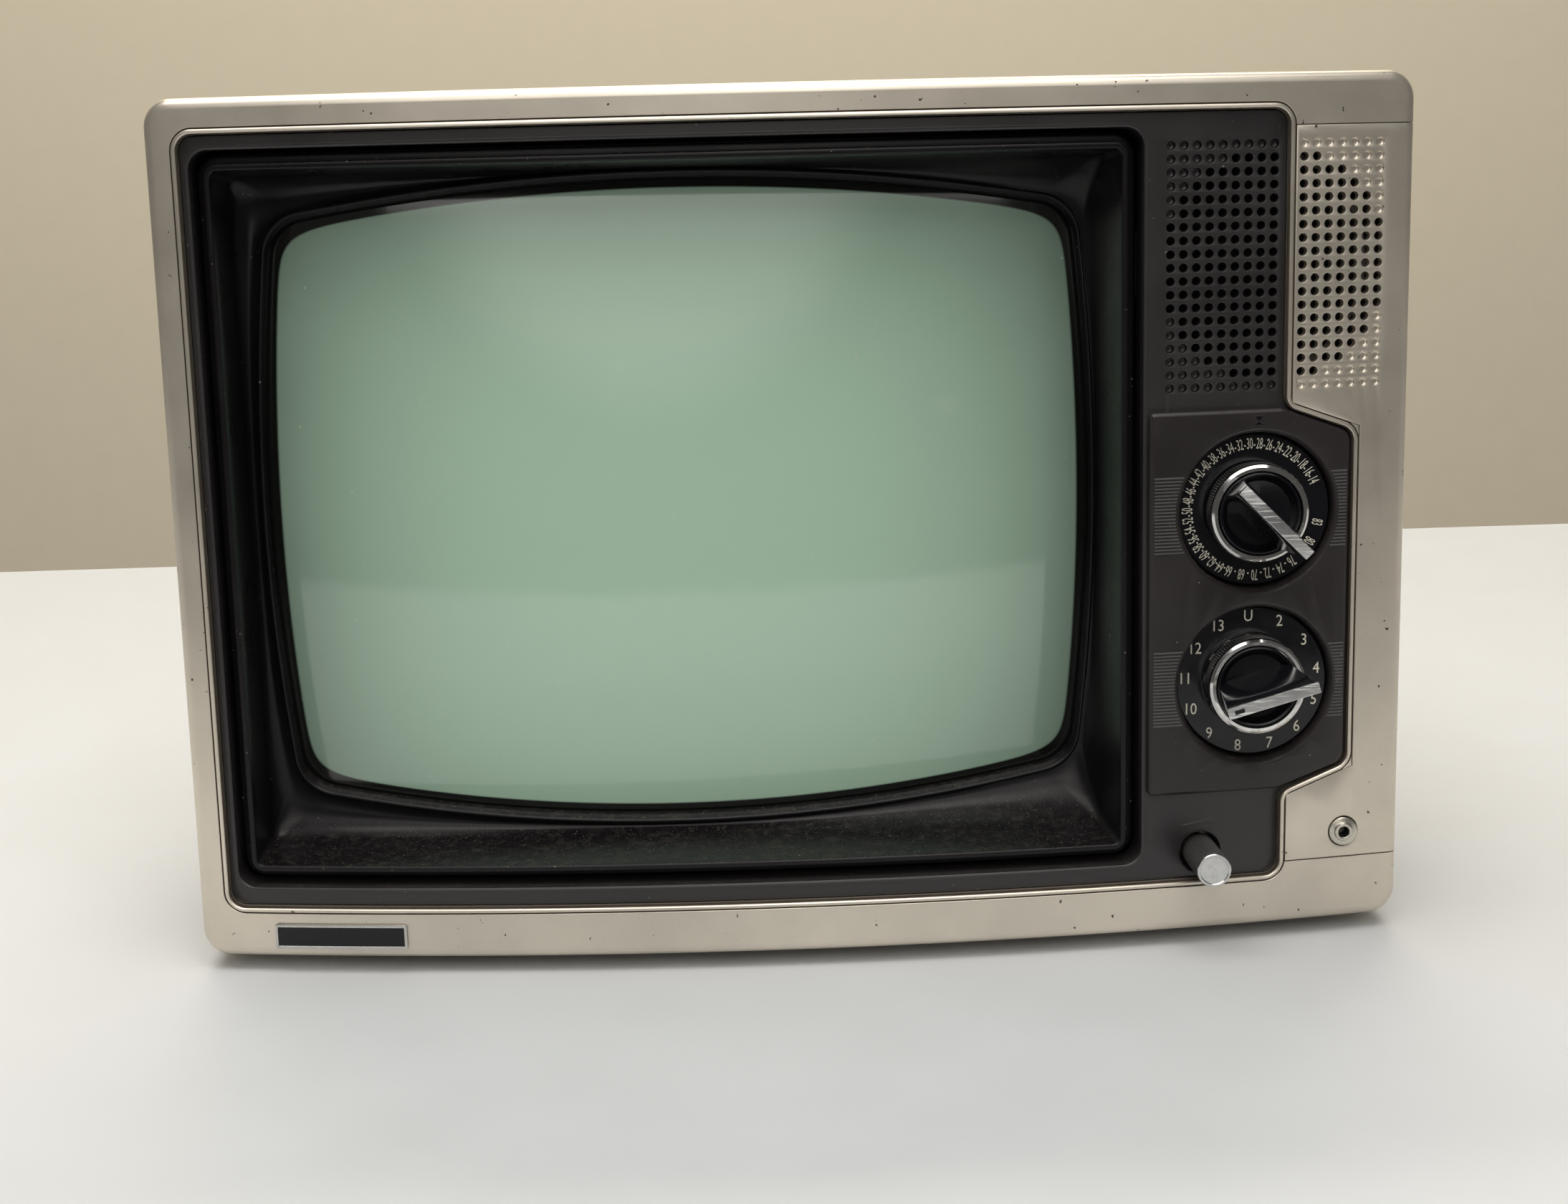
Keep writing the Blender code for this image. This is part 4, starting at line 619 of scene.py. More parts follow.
def front_frame():
    """Bowed face with a rounded edge and a small bead round the opening, with painted shade in the bead's outer groove
    and down the opening's inner wall.
    """
    rim = quarter_round(EDGE_BEVEL, 7)
    rim += [(EDGE_BEVEL, y * MM) for y in (6, 11, 16, 22, 28, 34, 40, 44.6)]
    rim += [(EDGE_BEVEL - 0.4 * MM, 45 * MM), (EDGE_BEVEL - WALL, 45 * MM), (EDGE_BEVEL - WALL, FACE_T)]
    # Steps marked 1 take the dark brown painted shade: the small groove outside the bead and the inner wall that drops
    # to the mask.
    bead = [(2.35, 0), (2.2, 0.12), (2.1, 0.55, 1), (1.85, 0.55, 1), (1.75, 0, 1), (1.55, -0.3), (1.15, -0.5),
            (0.75, -0.5), (0.45, -0.3), (0.3, 0, 0), (0.22, 0.5, 1), (0.0, 0.55, 1), (0, 1.6, 1), (0, FACE_T / MM)]
    bead = mm(bead)
    opening = fillet(opening_corners(), 5 * MM)
    body = slab(cabinet_outline(), rim, [(opening, bead)])
    step = slab(panel_outline(0), [(0, -12 * MM), (0, PANEL_T + GAP)])
    window = slab(rectangle(*SOUND_WINDOW), [(0, 0), (0, FACE_T + 5 * MM)])
    body = bend(cut(cut(body, step), window))
    piece("front_frame_shell", body, "cabinet", ["silver", "grime_and_shade"], ["front_frame"])


def panel_outline(clearance):
    """The side insert: outside the bead on its left, through the cabinet's side on its right."""
    bead = outset(opening_corners(), BEAD)
    left = [bead[6], bead[5], bead[4], bead[3], bead[2], bead[1]]
    top, low = PANEL_HIGH.z + GAP - clearance, PANEL_LOW.z - GAP + clearance
    side = WIDTH / 2 + 10 * MM
    down = [(left[0][0] + clearance, top)]
    down += [(x + clearance, z) for x, z in left[1:5]]
    down += [(left[5][0] + clearance, low)]
    return down + [(side, low), (side, top)]


def hole_grid(first_x, first_column, columns):
    """(x, z, open) of every hole in this part of the sound field: open inside the round field, blind outside."""
    for column in range(first_column, first_column + columns):
        for row in range(1, HOLE_ROWS + 1):
            inside = math.hypot(column - SOUND_COLUMN, row - SOUND_ROW) <= SOUND_REACH
            yield first_x + (column - first_column) * HOLE_PITCH, HOLE_TOP_Z - (row - 1) * HOLE_PITCH, inside


def grille(first_x, first_column, columns, face_y, back_y, depth):
    """Openings and blind dimples for a slab's sound holes, with a rounded edge at the face."""
    openings, blind = [], []
    for x, z, inside in hole_grid(first_x, first_column, columns):
        edge = circle(x, z, HOLE_R, 14)
        lead = [(0.26, 0), (0.1, 0.05), (0.02, 0.17), (0, 0.4)]
        lead = [(out * MM, face_y + y * MM) for out, y in lead]
        if inside:
            openings.append((edge, lead + [(-0.1 * MM, back_y)]))
        else:
            bowl = [(-0.05, 0.75), (-0.3, 0.93), (-0.7, 1)]
            blind.append((edge, lead + [(out * MM, face_y + y * depth) for out, y in bowl]))
    return openings, blind


def side_panel():
    """Silver insert with its part of the sound field, trimmed to the cabinet's rounded side."""
    outline = panel_outline(GAP)
    rim = [(-0.25 * MM, 0), (-0.08 * MM, 0.06 * MM), (0, 0.25 * MM), (0, PANEL_T)]
    openings, blind = grille(PANEL_HOLE_X, MASK_HOLE_COLUMNS + 2, PANEL_HOLE_COLUMNS, 0, PANEL_T, 1.1 * MM)
    socket = circle(JACK.x, JACK.z, JACK_HOLE_R, 32)
    openings.append((socket, [(0.5 * MM, 0), (0.15 * MM, 0.1 * MM), (0, 0.5 * MM), (0, PANEL_T)]))
    panel = slab(outline, rim, openings, blind)
    inside = [(out, y - 0.02 * MM) for out, y in quarter_round(EDGE_BEVEL, 7)] + [(EDGE_BEVEL, 9 * MM)]
    envelope = slab(cabinet_outline(), inside)
    panel = bend(cut(panel, envelope, "INTERSECT"))
    piece("side_panel_insert", panel, "cabinet", ["silver"], ["side_panel"])


def front_mask():
    """Black face with its sound field, the wells' and volume control's holes, and the groove's outer wall."""
    outline = outset(fillet(opening_corners(), 5 * MM), -GAP)
    rim = [(-0.5, 2.5), (-0.15, 2.6), (0, 2.95), (0, 8)]
    openings, blind = grille(MASK_HOLE_X, 1, MASK_HOLE_COLUMNS, MASK_Y, 6 * MM, 2.2 * MM)
    groove = fillet(rectangle(*GROOVE), GROOVE_R)
    wall = [(1.5, 2.5), (1.4, 2.25), (1.0, 2.2), (0.5, 2.3), (0.12, 2.6), (0, 3.1), (0, 8), (-0.05, 14.5),
            (1.6, 14.5), (1.6, 8)]
    openings.append((groove, mm(wall)))
    for dial in (UHF, VHF):
        openings.append((circle(dial.x, dial.z, WELL_HOLE_R, 48), [(0, MASK_Y), (0, 8 * MM)]))
    volume = [(0.9, 2.5), (0.35, 2.65), (0, 3.3), (0, 8)]
    openings.append((circle(VOLUME.x, VOLUME.z, VOLUME_HOLE_R, 40), mm(volume)))
    mask = bend(slab(outline, mm(rim), openings, blind))
    merge(mask, bend(loudness_wedge()))
    piece("front_mask_face", mask, "cabinet", ["black"], ["front_mask"])


def loudness_wedge():
    """Raised wedge that rises to the right above the volume knob."""
    x, z = VOLUME.x, VOLUME.z + 9.6 * MM
    outline = [(x - 6.5 * MM, z), (x + 6.5 * MM, z), (x + 6.5 * MM, z + 2.6 * MM)]
    return slab(outline, [(-0.15 * MM, MASK_Y - 0.25 * MM), (0, MASK_Y - 0.12 * MM), (0, MASK_Y + 0.3 * MM)])


# ---------------------------------------------------------------- screen surround and tube

def rect_section(bounds, radius, y_of, side_steps=20, corner_steps=10):
    """Rounded rectangle as points that match barrel_section's, one for one."""
    x0, x1, z0, z1 = bounds
    corners = [(x1, z1, 1, 1), (x0, z1, -1, 1), (x0, z0, -1, -1), (x1, z0, 1, -1)]
    points = []
    for quarter, (x, z, sx, sz) in enumerate(corners):
        cx, cz = x - sx * radius, z - sz * radius
        for i in range(corner_steps + 1):
            turn = math.pi / 2 * (quarter + i / corner_steps)
            points.append((cx + radius * math.cos(turn), cz + radius * math.sin(turn)))
        nx, nz, nsx, nsz = corners[(quarter + 1) % 4]
        start = points[-1]
        turn = math.pi / 2 * (quarter + 1)
        end = (nx - nsx * radius + radius * math.cos(turn), nz - nsz * radius + radius * math.sin(turn))
        for i in range(1, side_steps):
            share = i / side_steps
            points.append((start[0] + (end[0] - start[0]) * share, start[1] + (end[1] - start[1]) * share))
    return [Vector((x, y_of(x, z), z)) for x, z in points]


def screen_section(a, b, radius, y_of, side_steps=20, corner_steps=10):
    """Screen outline about the tube's axis: four bulging sides and small round corners."""
    sag_x, sag_z = a * TUBE_BULGE[0], b * TUBE_BULGE[1]
    px, pz = a - sag_x, b - sag_z
    lean, tip = math.atan(2 * sag_x / pz), math.atan(2 * sag_z / px)
    back = radius / math.tan((math.pi / 2 + lean + tip) / 2)
    centre_x = px + back * math.sin(lean) - radius * math.cos(lean)
    centre_z = pz - back * math.cos(lean) - radius * math.sin(lean)
    arc = []
    for i in range(corner_steps + 1):
        t = lean + (math.pi / 2 - tip - lean) * i / corner_steps
        arc.append((centre_x + radius * math.cos(t), centre_z + radius * math.sin(t)))
    shares = [1 - 2 * i / side_steps for i in range(1, side_steps)]
    level = [(arc[-1][0] * share, b - sag_z * (arc[-1][0] * share / px) ** 2) for share in shares]
    upright = [(a - sag_x * (arc[0][1] * share / pz) ** 2, arc[0][1] * share) for share in shares]
    points = []
    for sx, sz in ((1, 1), (-1, 1), (-1, -1), (1, -1)):
        quarter = arc + level if sx == sz else arc[::-1] + upright
        points += [(sx * x, sz * z) for x, z in quarter]
    return [Vector((TUBE_X + x, y_of(TUBE_X + x, TUBE_Z + z), TUBE_Z + z)) for x, z in points]


def barrel_section(a, b, exponent, y_of, side_steps=20, corner_steps=10):
    """Superellipse about the tube's axis, which is a plain round at exponent 2."""
    reach = 0.68
    near = math.asin(reach ** (exponent / 2))
    far = math.pi / 2 - near
    points = []
    for sx, sz in ((1, 1), (-1, 1), (-1, -1), (1, -1)):
        arc = []
        for i in range(corner_steps + 1):
            t = near + (far - near) * i / corner_steps
            arc.append((a * math.cos(t) ** (2 / exponent), b * math.sin(t) ** (2 / exponent)))
        side = []
        for i in range(1, side_steps):
            share = reach * (1 - 2 * i / side_steps)
            rest = (1 - abs(share) ** exponent) ** (1 / exponent)
            side.append((a * share, b * rest) if sx == sz else (a * rest, b * share))
        if sx != sz:
            arc.reverse()
        points += [(sx * x, sz * z) for x, z in arc + side]
    return [Vector((TUBE_X + x, y_of(TUBE_X + x, TUBE_Z + z), TUBE_Z + z)) for x, z in points]


def between(one, other, shares, sag=0.0):
    """Sections on the way from one to another, bulging back by sag in the middle."""
    made = []
    for share in shares:
        lift = Vector((0, sag * 4 * share * (1 - share), 0))
        made.append([a.lerp(b, share) + lift for a, b in zip(one, other)])
    return made


def loft(sections, indices=None):
    """Skin through matching sections, given front to back along its visible side."""
    bm = bmesh.new()
    rings = [[bm.verts.new(p) for p in section] for section in sections]
    for number, (near, far) in enumerate(zip(rings, rings[1:])):
        bridge(bm, near, far, indices[number] if indices else 0)
    return bm


def glass_y(x, z):
    return GLASS_Y + ((x - TUBE_X) ** 2 + (z - TUBE_Z) ** 2) / (2 * GLASS_R)


def grown(bounds, out):
    return (bounds[0] - out, bounds[1] + out, bounds[2] - out, bounds[3] + out)


def thicken(obj, thickness):
    shell = obj.modifiers.new("shell", "SOLIDIFY")
    shell.thickness = thickness
    shell.offset = -1
    shell.use_even_offset = True
    return obj


def screen_bezel():
    """Raised ring, sloping walls to a soft crease, and a barrel-shaped lip in front of the glass."""
    def bowed(depth):
        return lambda x, z: bow_at(x) + depth * MM

    def before_glass(distance):
        return lambda x, z: glass_y(x, z) - distance * MM

    def ring(out, depth):
        return rect_section(grown(RING, out * MM), (4.5 + out) * MM, bowed(depth))

    sections = [ring(4.1, 15.1), ring(2.7, 15.1), ring(2.6, 10.4), ring(2.4, 9.9), ring(2.0, 9.7), ring(0.25, 9.7),
                ring(0.08, 9.2), ring(0, 5.9), ring(-0.08, 5.35), ring(-0.35, 5.08), ring(-0.7, 5), ring(-1.5, 5),
                ring(-1.9, 5.1), ring(-2.15, 5.4), ring(-2.25, 5.9)]
    slope_top = ring(-2.35, 6.3)
    crease = rect_section(CREASE, 3 * MM, bowed(CREASE_Y / MM))
    lip = screen_section(138.3 * MM, 108.8 * MM, 14.3 * MM, before_glass(4.7))
    slope = between(slope_top, crease, [0, 0.2, 0.4, 0.6, 0.75, 0.86])
    floor = between(crease, lip, [0.1, 0.22, 0.36, 0.5, 0.65, 0.8, 0.92, 1], 3 * MM)
    valley_in, valley_out = slope[-1], floor[0]
    valley = []
    for share in (0.2, 0.4, 0.6, 0.8):
        valley.append([a * (1 - share) ** 2 + c * 2 * share * (1 - share) + b * share ** 2
                       for a, c, b in zip(valley_in, crease, valley_out)])
    edge = [screen_section(a * MM, b * MM, r * MM, before_glass(d)) for a, b, r, d in (
        (138.05, 108.5, 14.2, 4.95), (137.8, 108.2, 14, 5), (137.5, 107.8, 13.9, 4.92), (137.3, 107.5, 13.8, 4.65),
        (137.2, 107.3, 13.7, 4.2), (136.7, 106.4, 13.3, 2.6), (136.2, 105.5, 13, 1))]
    shell = loft(sections + slope + valley + floor + edge)
    shell = piece("screen_bezel_shell", shell, "cabinet", ["surround"], ["screen_bezel"], angle=50)
    thicken(shell, 0.9 * MM)


def picture_tube():
    """Glass bulb: phosphor behind the curved face, then the coated funnel and neck."""
    face = [screen_section(TUBE_A * s, TUBE_B * s, TUBE_R * s, glass_y)
            for s in (0.02, 0.12, 0.25, 0.4, 0.55, 0.7, 0.82, 0.91, 0.97, 1.0)]
    skirt = [screen_section(TUBE_A, TUBE_B, TUBE_R, lambda x, z: 56 * MM)]
    funnel = ((75, 0.9, 4.4), (92, 0.8, 3.9), (110, 0.66, 3.4), (128, 0.53, 3), (145, 0.4, 2.6))
    cone = [barrel_section(TUBE_A * s, TUBE_B * s, n, lambda x, z, y=y: y * MM) for y, s, n in funnel]
    throat = ((168, 26), (176, 18), (182, 12.4), (187, 10), (240, 10))
    neck = [barrel_section(r * MM, r * MM, 2, lambda x, z, y=y: y * MM) for y, r in throat]
    bulb = loft(face + skirt + cone + neck, [0] * len(face) + [1] * 12)
    bmesh.ops.holes_fill(bulb, edges=[e for e in bulb.edges if e.is_boundary], sides=0)
    bmesh.ops.recalc_face_normals(bulb, faces=bulb.faces)
    piece("picture_tube_bulb", bulb, "cabinet", ["glass", "funnel"], ["picture_tube"], angle=60)


# ---------------------------------------------------------------- tuner plate and dials

def plate_outline():
    right = outset(opening_corners(), -0.8 * MM)
    x0, z0, z1 = PLATE_LOW.x, PLATE_LOW.z, PLATE_HIGH.z
    corners = [(x0, z0), (right[2][0], z0), right[3], right[4], (right[5][0], z1), (x0, z1)]
    return fillet(corners, [1.5 * MM] + [4.5 * MM] * 4 + [1.5 * MM])


def tuner_plate():
    rim = [(-1.1, -0.5), (-0.95, -0.47), (-0.15, 0.25), (0, 0.5), (0, 2.2)]
    flare = [(1.5, -0.5), (1.2, -0.42), (0.6, 0.2), (0.25, 1.0), (0, 2.2)]
    cup = [(25.6, 2.2), (25.6, 9.8), (24.9, 10.6), (7, 10.6), (7, 12), (26.9, 12), (26.9, 2.2)]
    wells = [(circle(dial.x, dial.z, WELL_R, 72), mm(flare)) for dial in (UHF, VHF)]
    face = slab(plate_outline(), mm(rim), wells)
    for dial in (UHF, VHF):
        well = lathe(mm(cup), 72, closed=True)
        merge(face, move(well, Matrix.Translation((dial.x, 0, dial.z))))
    bend(face)
    for dial in (UHF, VHF):
        for side in (-1, 1):
            merge(face, rib_band(dial, side))
    merge(face, bend(index_mark()))
    piece("tuner_plate_face", face, "cabinet", ["plate", "rib", "gloss_black"],
          ["tuner_plate"])


def rib_band(dial, side, count=23, pitch=1.1 * MM, height=0.32 * MM, width=0.62 * MM):
    """Fine level ribs between a dial's well and the plate's edge."""
    ribs = bmesh.new()
    limit = PLATE_LOW.x + 1.4 * MM if side < 0 else PLATE_HIGH.x - 1.2 * MM
    for i in range(count):
        rise = (i - (count - 1) / 2) * pitch
        inner = dial.x + side * math.sqrt((WELL_FLARE_R + 0.5 * MM) ** 2 - rise ** 2)
        if (limit - inner) * side < 1 * MM:
            continue
        z = dial.z + rise
        section = [(PLATE_Y + 0.05 * MM, z - width / 2), (PLATE_Y - height, z - width / 5),
                   (PLATE_Y - height, z + width / 5), (PLATE_Y + 0.05 * MM, z + width / 2)]
        ends = [[ribs.verts.new((x, y, h)) for y, h in section] for x in (inner, limit)]
        bridge(ribs, *ends)
        for end in ends:
            ribs.faces.new(end)
    bmesh.ops.recalc_face_normals(ribs, faces=ribs.faces)
    return bend(paint(ribs, 1))


def index_mark():
    """Small notched pointer above the upper dial."""
    x, z = UHF.x, UHF.z + 29.6 * MM
    half, tall = 1.6 * MM, 1.4 * MM
    mark = slab([(x, z - tall * 0.1), (x + half, z + tall), (x - half, z + tall)],
                [(0, PLATE_Y - 0.25 * MM), (0, PLATE_Y + 0.2 * MM)])
    merge(mark, slab([(x - half, z - tall), (x + half, z - tall), (x, z - tall * 0.2)],
                     [(0, PLATE_Y - 0.25 * MM), (0, PLATE_Y + 0.2 * MM)]))
    return paint(mark, 2)


def digits(text, size, turn, upright):
    """One printed number as a thin mesh, at an angle round a dial's axis; size is height, squeeze and radius."""
    height, squeeze, radius = size
    curve = bpy.data.curves.new("digits", "FONT")
    curve.body = text
    curve.size = height / 0.7
    curve.align_x = "CENTER"
    curve.resolution_u = 3
    curve.extrude = 0.04 * MM
    obj = add_object("digits", curve)
    mesh = bpy.data.meshes.new_from_object(obj.evaluated_get(bpy.context.evaluated_depsgraph_get()))
    bpy.data.objects.remove(obj)
    bm = bmesh.new()
    bm.from_mesh(mesh)
    bpy.data.meshes.remove(mesh)
    lift = Matrix.Translation((0, -height / 2, 0))
    stand = Matrix.Rotation(math.pi / 2, 4, "X") @ Matrix.Diagonal((squeeze, 1, 1, 1)) @ lift
    spin = Matrix.Rotation(0 if upright else math.pi / 2 - turn, 4, "Y")
    out = Matrix.Translation((radius * math.cos(turn), 0, radius * math.sin(turn)))
    return move(bm, out @ spin @ stand)


def uhf_angle(channel):
    """The scale is even up to channel 50 and opens out towards the high end."""
    step = (channel - 14) / 2
    low, high = min(step, 26), max(step - 26, 0)
    return math.radians(25 + 8.6 * low + 11.6 * high)


def dial(name, middle, node, body, numbers):
    profile = [(3.3, -1.0), (DIAL_R / MM, -1.0), (DIAL_R / MM, -2.3), (DIAL_R / MM - 0.2, -2.5), (3.3, -2.5)]
    disc = lathe([(r * MM, y * MM - DIAL_Y) for r, y in profile], 96, closed=True)
    at = spot(middle, DIAL_Y)
    piece(name, disc, body, ["gloss_black"], [node], at)
    ink = bmesh.new()
    for number in numbers:
        merge(ink, number)
    move(ink, Matrix.Translation((0, -0.02 * MM, 0)))
    piece(name + "_scale", ink, body, ["print"], at=at)


def dials():
    numbers = []
    for channel in list(range(14, 78, 2)) + [80, 83]:
        numbers.append(digits(str(channel), UHF_DIGITS, uhf_angle(channel), False))
        if channel < 76:
            middle = (uhf_angle(channel) + uhf_angle(channel + 2)) / 2
            numbers.append(digits("-", UHF_DIGITS, middle, False))
    dial("uhf_dial_disc", UHF, "uhf_dial", "uhf_tuning", numbers)
    marks = ["U"] + [str(n) for n in range(2, 14)]
    step = 2 * math.pi / len(marks)
    numbers = [digits(mark, VHF_DIGITS, math.radians(93) - step * i, True) for i, mark in enumerate(marks)]
    dial("vhf_dial_disc", VHF, "vhf_dial", "cabinet", numbers)


# ---------------------------------------------------------------- knobs

def knob_ring(name, middle, body, node, sleeve):
    """Chrome ring with a coin-edge knurl and polished chamfers."""
    profile = [(13.6, -9.6), (13.9, -10), (14.9, -10), (15.7, -9.3), (15.95, -8.7), (16.15, -8.5, 0, True),
               (16.15, -3.2, 0, True), (15.9, -3.0), (15.9, -2.0)]
    profile += [(16.2, -1.4), (16.2, -0.3), (3.3, -0.3), (3.3, -1.2), (13.6, -1.2)] if sleeve else [(13.6, -2.0)]
    ring = lathe(mm(profile), teeth=110, tooth=0.32 * MM, closed=True)
    piece(name, ring, body, ["chrome"], [node], spot(middle, DIAL_Y), angle=25)


def knob_core(name, middle, body, node, turn, back_y):
    """Glossy dished core with a tapered finger bar that fans out of its rim."""
    profile = [(0, back_y), (13.2, back_y), (13.3, back_y - 0.2), (13.3, -9.6), (13.1, -9.9), (12.8, -10), (12.3, -9.8),
               (11.6, -8.6), (10.4, -7.6), (6, -7), (0, -6.8)]
    core = lathe(mm(profile), 72)
    bar = bmesh.new()
    levels = ((-5.2, 12.0, 4.6), (-10, 12.5, 4.0), (-16, 13.2, 3.3), (-23, 14.0, 2.5), (-28.6, 14.6, 1.75),
              (-29, 14.4, 1.55))
    rings = []
    for y, half_x, half_z in levels:
        corners = fillet(rectangle(-half_x * MM, half_x * MM, -half_z * MM, half_z * MM), 0.5 * MM, 3)
        rings.append([bar.verts.new((x, y * MM, z)) for x, z in corners])
    for near, far in zip(rings, rings[1:]):
        bridge(bar, near, far)
    bar.faces.new(rings[0])
    bar.faces.new(rings[-1])
    bmesh.ops.recalc_face_normals(bar, faces=bar.faces)
    move(bar, Matrix.Rotation(turn, 4, "Y"))
    knob = cut(core, bar, "UNION")
    piece(name, knob, body, ["gloss_black"], [node], spot(middle, DIAL_Y), angle=28)


def knob_strip(name, middle, body, node, turn, marked):
    """Scratched aluminium strip; the marked one has a small black inset near its end."""
    length, width, thick = STRIP
    back = -BAR_FRONT - GAP
    outline = fillet(rectangle(-length / 2, length / 2, -width / 2, width / 2), 0.3 * MM, 3)
    rim = [(-0.16 * MM, back - thick), (-0.04 * MM, back - thick + 0.04 * MM), (0, back - thick + 0.16 * MM), (0, back)]
    blind = []
    if marked:
        notch = rectangle(-length / 2 + 2.2 * MM, -length / 2 + 5.4 * MM, -0.75 * MM, 0.65 * MM)
        blind = [(notch, [(0, back - thick), (0, back - thick + 0.45 * MM)])]
    strip = slab(outline, rim, blind=blind)
    for face in strip.faces:
        x, y, z = face.calc_center_median()
        in_notch = x < -length / 2 + 6 * MM and back - thick + 0.1 * MM < y < back - 0.1 * MM and abs(z) < 1 * MM
        face.material_index = 1 if marked and in_notch else 0
    move(strip, Matrix.Rotation(turn, 4, "Y"))
    piece(name, strip, body, ["strip", "gloss_black"], [node], spot(middle, DIAL_Y))


def volume_knob():
    """Slim knurled knob with a spun aluminium cap."""
    at = spot(VOLUME)
    profile = [(0, -3), (5.3, -3), (5.6, -3.3, 0, True), (5.6, -26.6, 0, True), (5.3, -27), (0, -27)]
    body = lathe(mm(profile), teeth=44, tooth=0.3 * MM)
    piece("volume_knob_grip", body, "volume", ["dark_grey"], ["volume_knob"], at, angle=25)
    profile = [(0, -27.3), (5.3, -27.3), (5.5, -27.5), (5.5, -28.35), (5.25, -28.6), (4.75, -28.6), (4.55, -28.35)]
    profile += [(4.4 - 0.55 * i, -28.3 - 0.05 * (i % 2)) for i in range(8)] + [(0, -28.32)]
    cap = lathe(mm(profile), 64)
    piece("volume_knob_face", cap, "volume", ["spun"], ["volume_knob_cap"], at, angle=12)


def earphone_jack():
    """Nickel socket with a rounded nut, its bore and the bore's floor painted near-black as shade deep in the hole."""
    profile = [(0, 12), (3, 12), (3, -0.4), (4.7, -0.4), (4.8, -0.5), (4.8, -3.7), (4.6, -4.0), (4.2, -4.15),
               (3.3, -4.2), (3.1, -4.3), (3.0, -4.6), (2.8, -4.85), (2.2, -4.9), (1.9, -4.75), (1.75, -4.4),
               (1.75, 10, 1), (0, 10, 1)]
    socket = lathe(mm(profile), 56)
    piece("earphone_socket", socket, "cabinet", ["nickel", "hole_shade"], ["earphone_jack"], spot(JACK))


def badge():
    """Plain plate without lettering: a bright rim round a darker panel."""
    low, high = layout_box("badge_plate")
    outline = fillet(rectangle(low.x, high.x, low.z, high.z), 0.9 * MM, 5)
    rim = [(-0.25 * MM, -1.1 * MM), (-0.06 * MM, -1.04 * MM), (0, -0.85 * MM), (0, -GAP)]
    inset = outset(outline, -0.9 * MM)
    plate = slab(outline, rim, blind=[(inset, [(0, -1.1 * MM), (-0.15 * MM, -0.8 * MM)])])
    for face in plate.faces:
        face.material_index = 1 if all(abs(v.co.y + 0.8 * MM) < 0.01 * MM for v in face.verts) else 0
    piece("badge_face", bend(plate), "cabinet", ["trim", "gloss_black"], ["badge_plate"])


# ---------------------------------------------------------------- back and sides

def refined(node, body, looks, width, index_of=None):
    """A CAD solid's shape with its sharp edges rounded; index_of picks a material from a face's middle."""
    bm = bmesh.new()
    bm.from_mesh(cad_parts[node].data)
    bmesh.ops.remove_doubles(bm, verts=bm.verts, dist=0.001 * MM)
    bmesh.ops.dissolve_limit(bm, angle_limit=math.radians(0.5), verts=bm.verts, edges=bm.edges)
    soften(bm, width)
    move(bm, Matrix.Translation(-ORIGIN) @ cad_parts[node].matrix_world)
    for face in bm.faces:
        face.material_index = index_of(face.calc_center_median()) if index_of else 0
    return piece(node + "_refined", bm, body, looks, [node])


def rear_knob(node, body):
    """Small knurled adjuster with a pale line on its end."""
    middle = axis_of(node)
    profile = [(0, 244.5), (3, 244.5), (3, 262.7), (6.6, 262.7), (6.9, 263, 0, True), (6.9, 269.4, 0, True),
               (6.3, 270.2), (5.9, 270.45), (3.4, 270.45), (3.1, 270.2), (0, 270.2)]
    knob = lathe(mm(profile), teeth=32, tooth=0.4 * MM)
    line = block((-0.4 * MM, 270.3 * MM, 3.4 * MM), (0.4 * MM, 270.5 * MM, 6.2 * MM))
    merge(knob, paint(line, 1))
    piece(node + "_knurled", knob, body, ["dark_grey", "print"],
          [node], spot(middle), angle=25)


def foot(node):
    """Rubber foot with a moulded rim and a shallow dish under it."""
    middle = axis_of(node)
    profile = [(0, 0.3), (8.8, 0.3), (9, 0.6), (8.85, 1.4), (8.4, 1.8), (8.2, 2.2), (7.5, 4.6), (7.2, 4.95), (6.7, 5),
               (5.8, 5), (5.4, 4.4), (0, 4.4)]
    pad = move(lathe(mm(profile), 56), Matrix.Rotation(-math.pi / 2, 4, "X"))
    piece(node + "_pad", pad, "cabinet", ["rubber"], [node], ORIGIN + Vector((middle.x, middle.y, 0)))


def cover_screw(node):
    """Pan-head screw with a cross recess."""
    middle = axis_of(node)
    profile = [(0, 131), (1.3, 132), (1.3, 150.3), (3.3, 150.3), (3.3, 151), (3.1, 151.7), (2.5, 152.2),
               (1.4, 152.5), (0, 152.5)]
    screw = lathe(mm(profile), 40)
    for half_x, half_z in ((1.9, 0.35), (0.35, 1.9)):
        slot = block((-half_x * MM, 151.5 * MM, -half_z * MM), (half_x * MM, 154 * MM, half_z * MM))
        screw = cut(screw, slot)
    piece(node + "_cross_head", screw, "cabinet", ["steel"], [node], spot(middle))


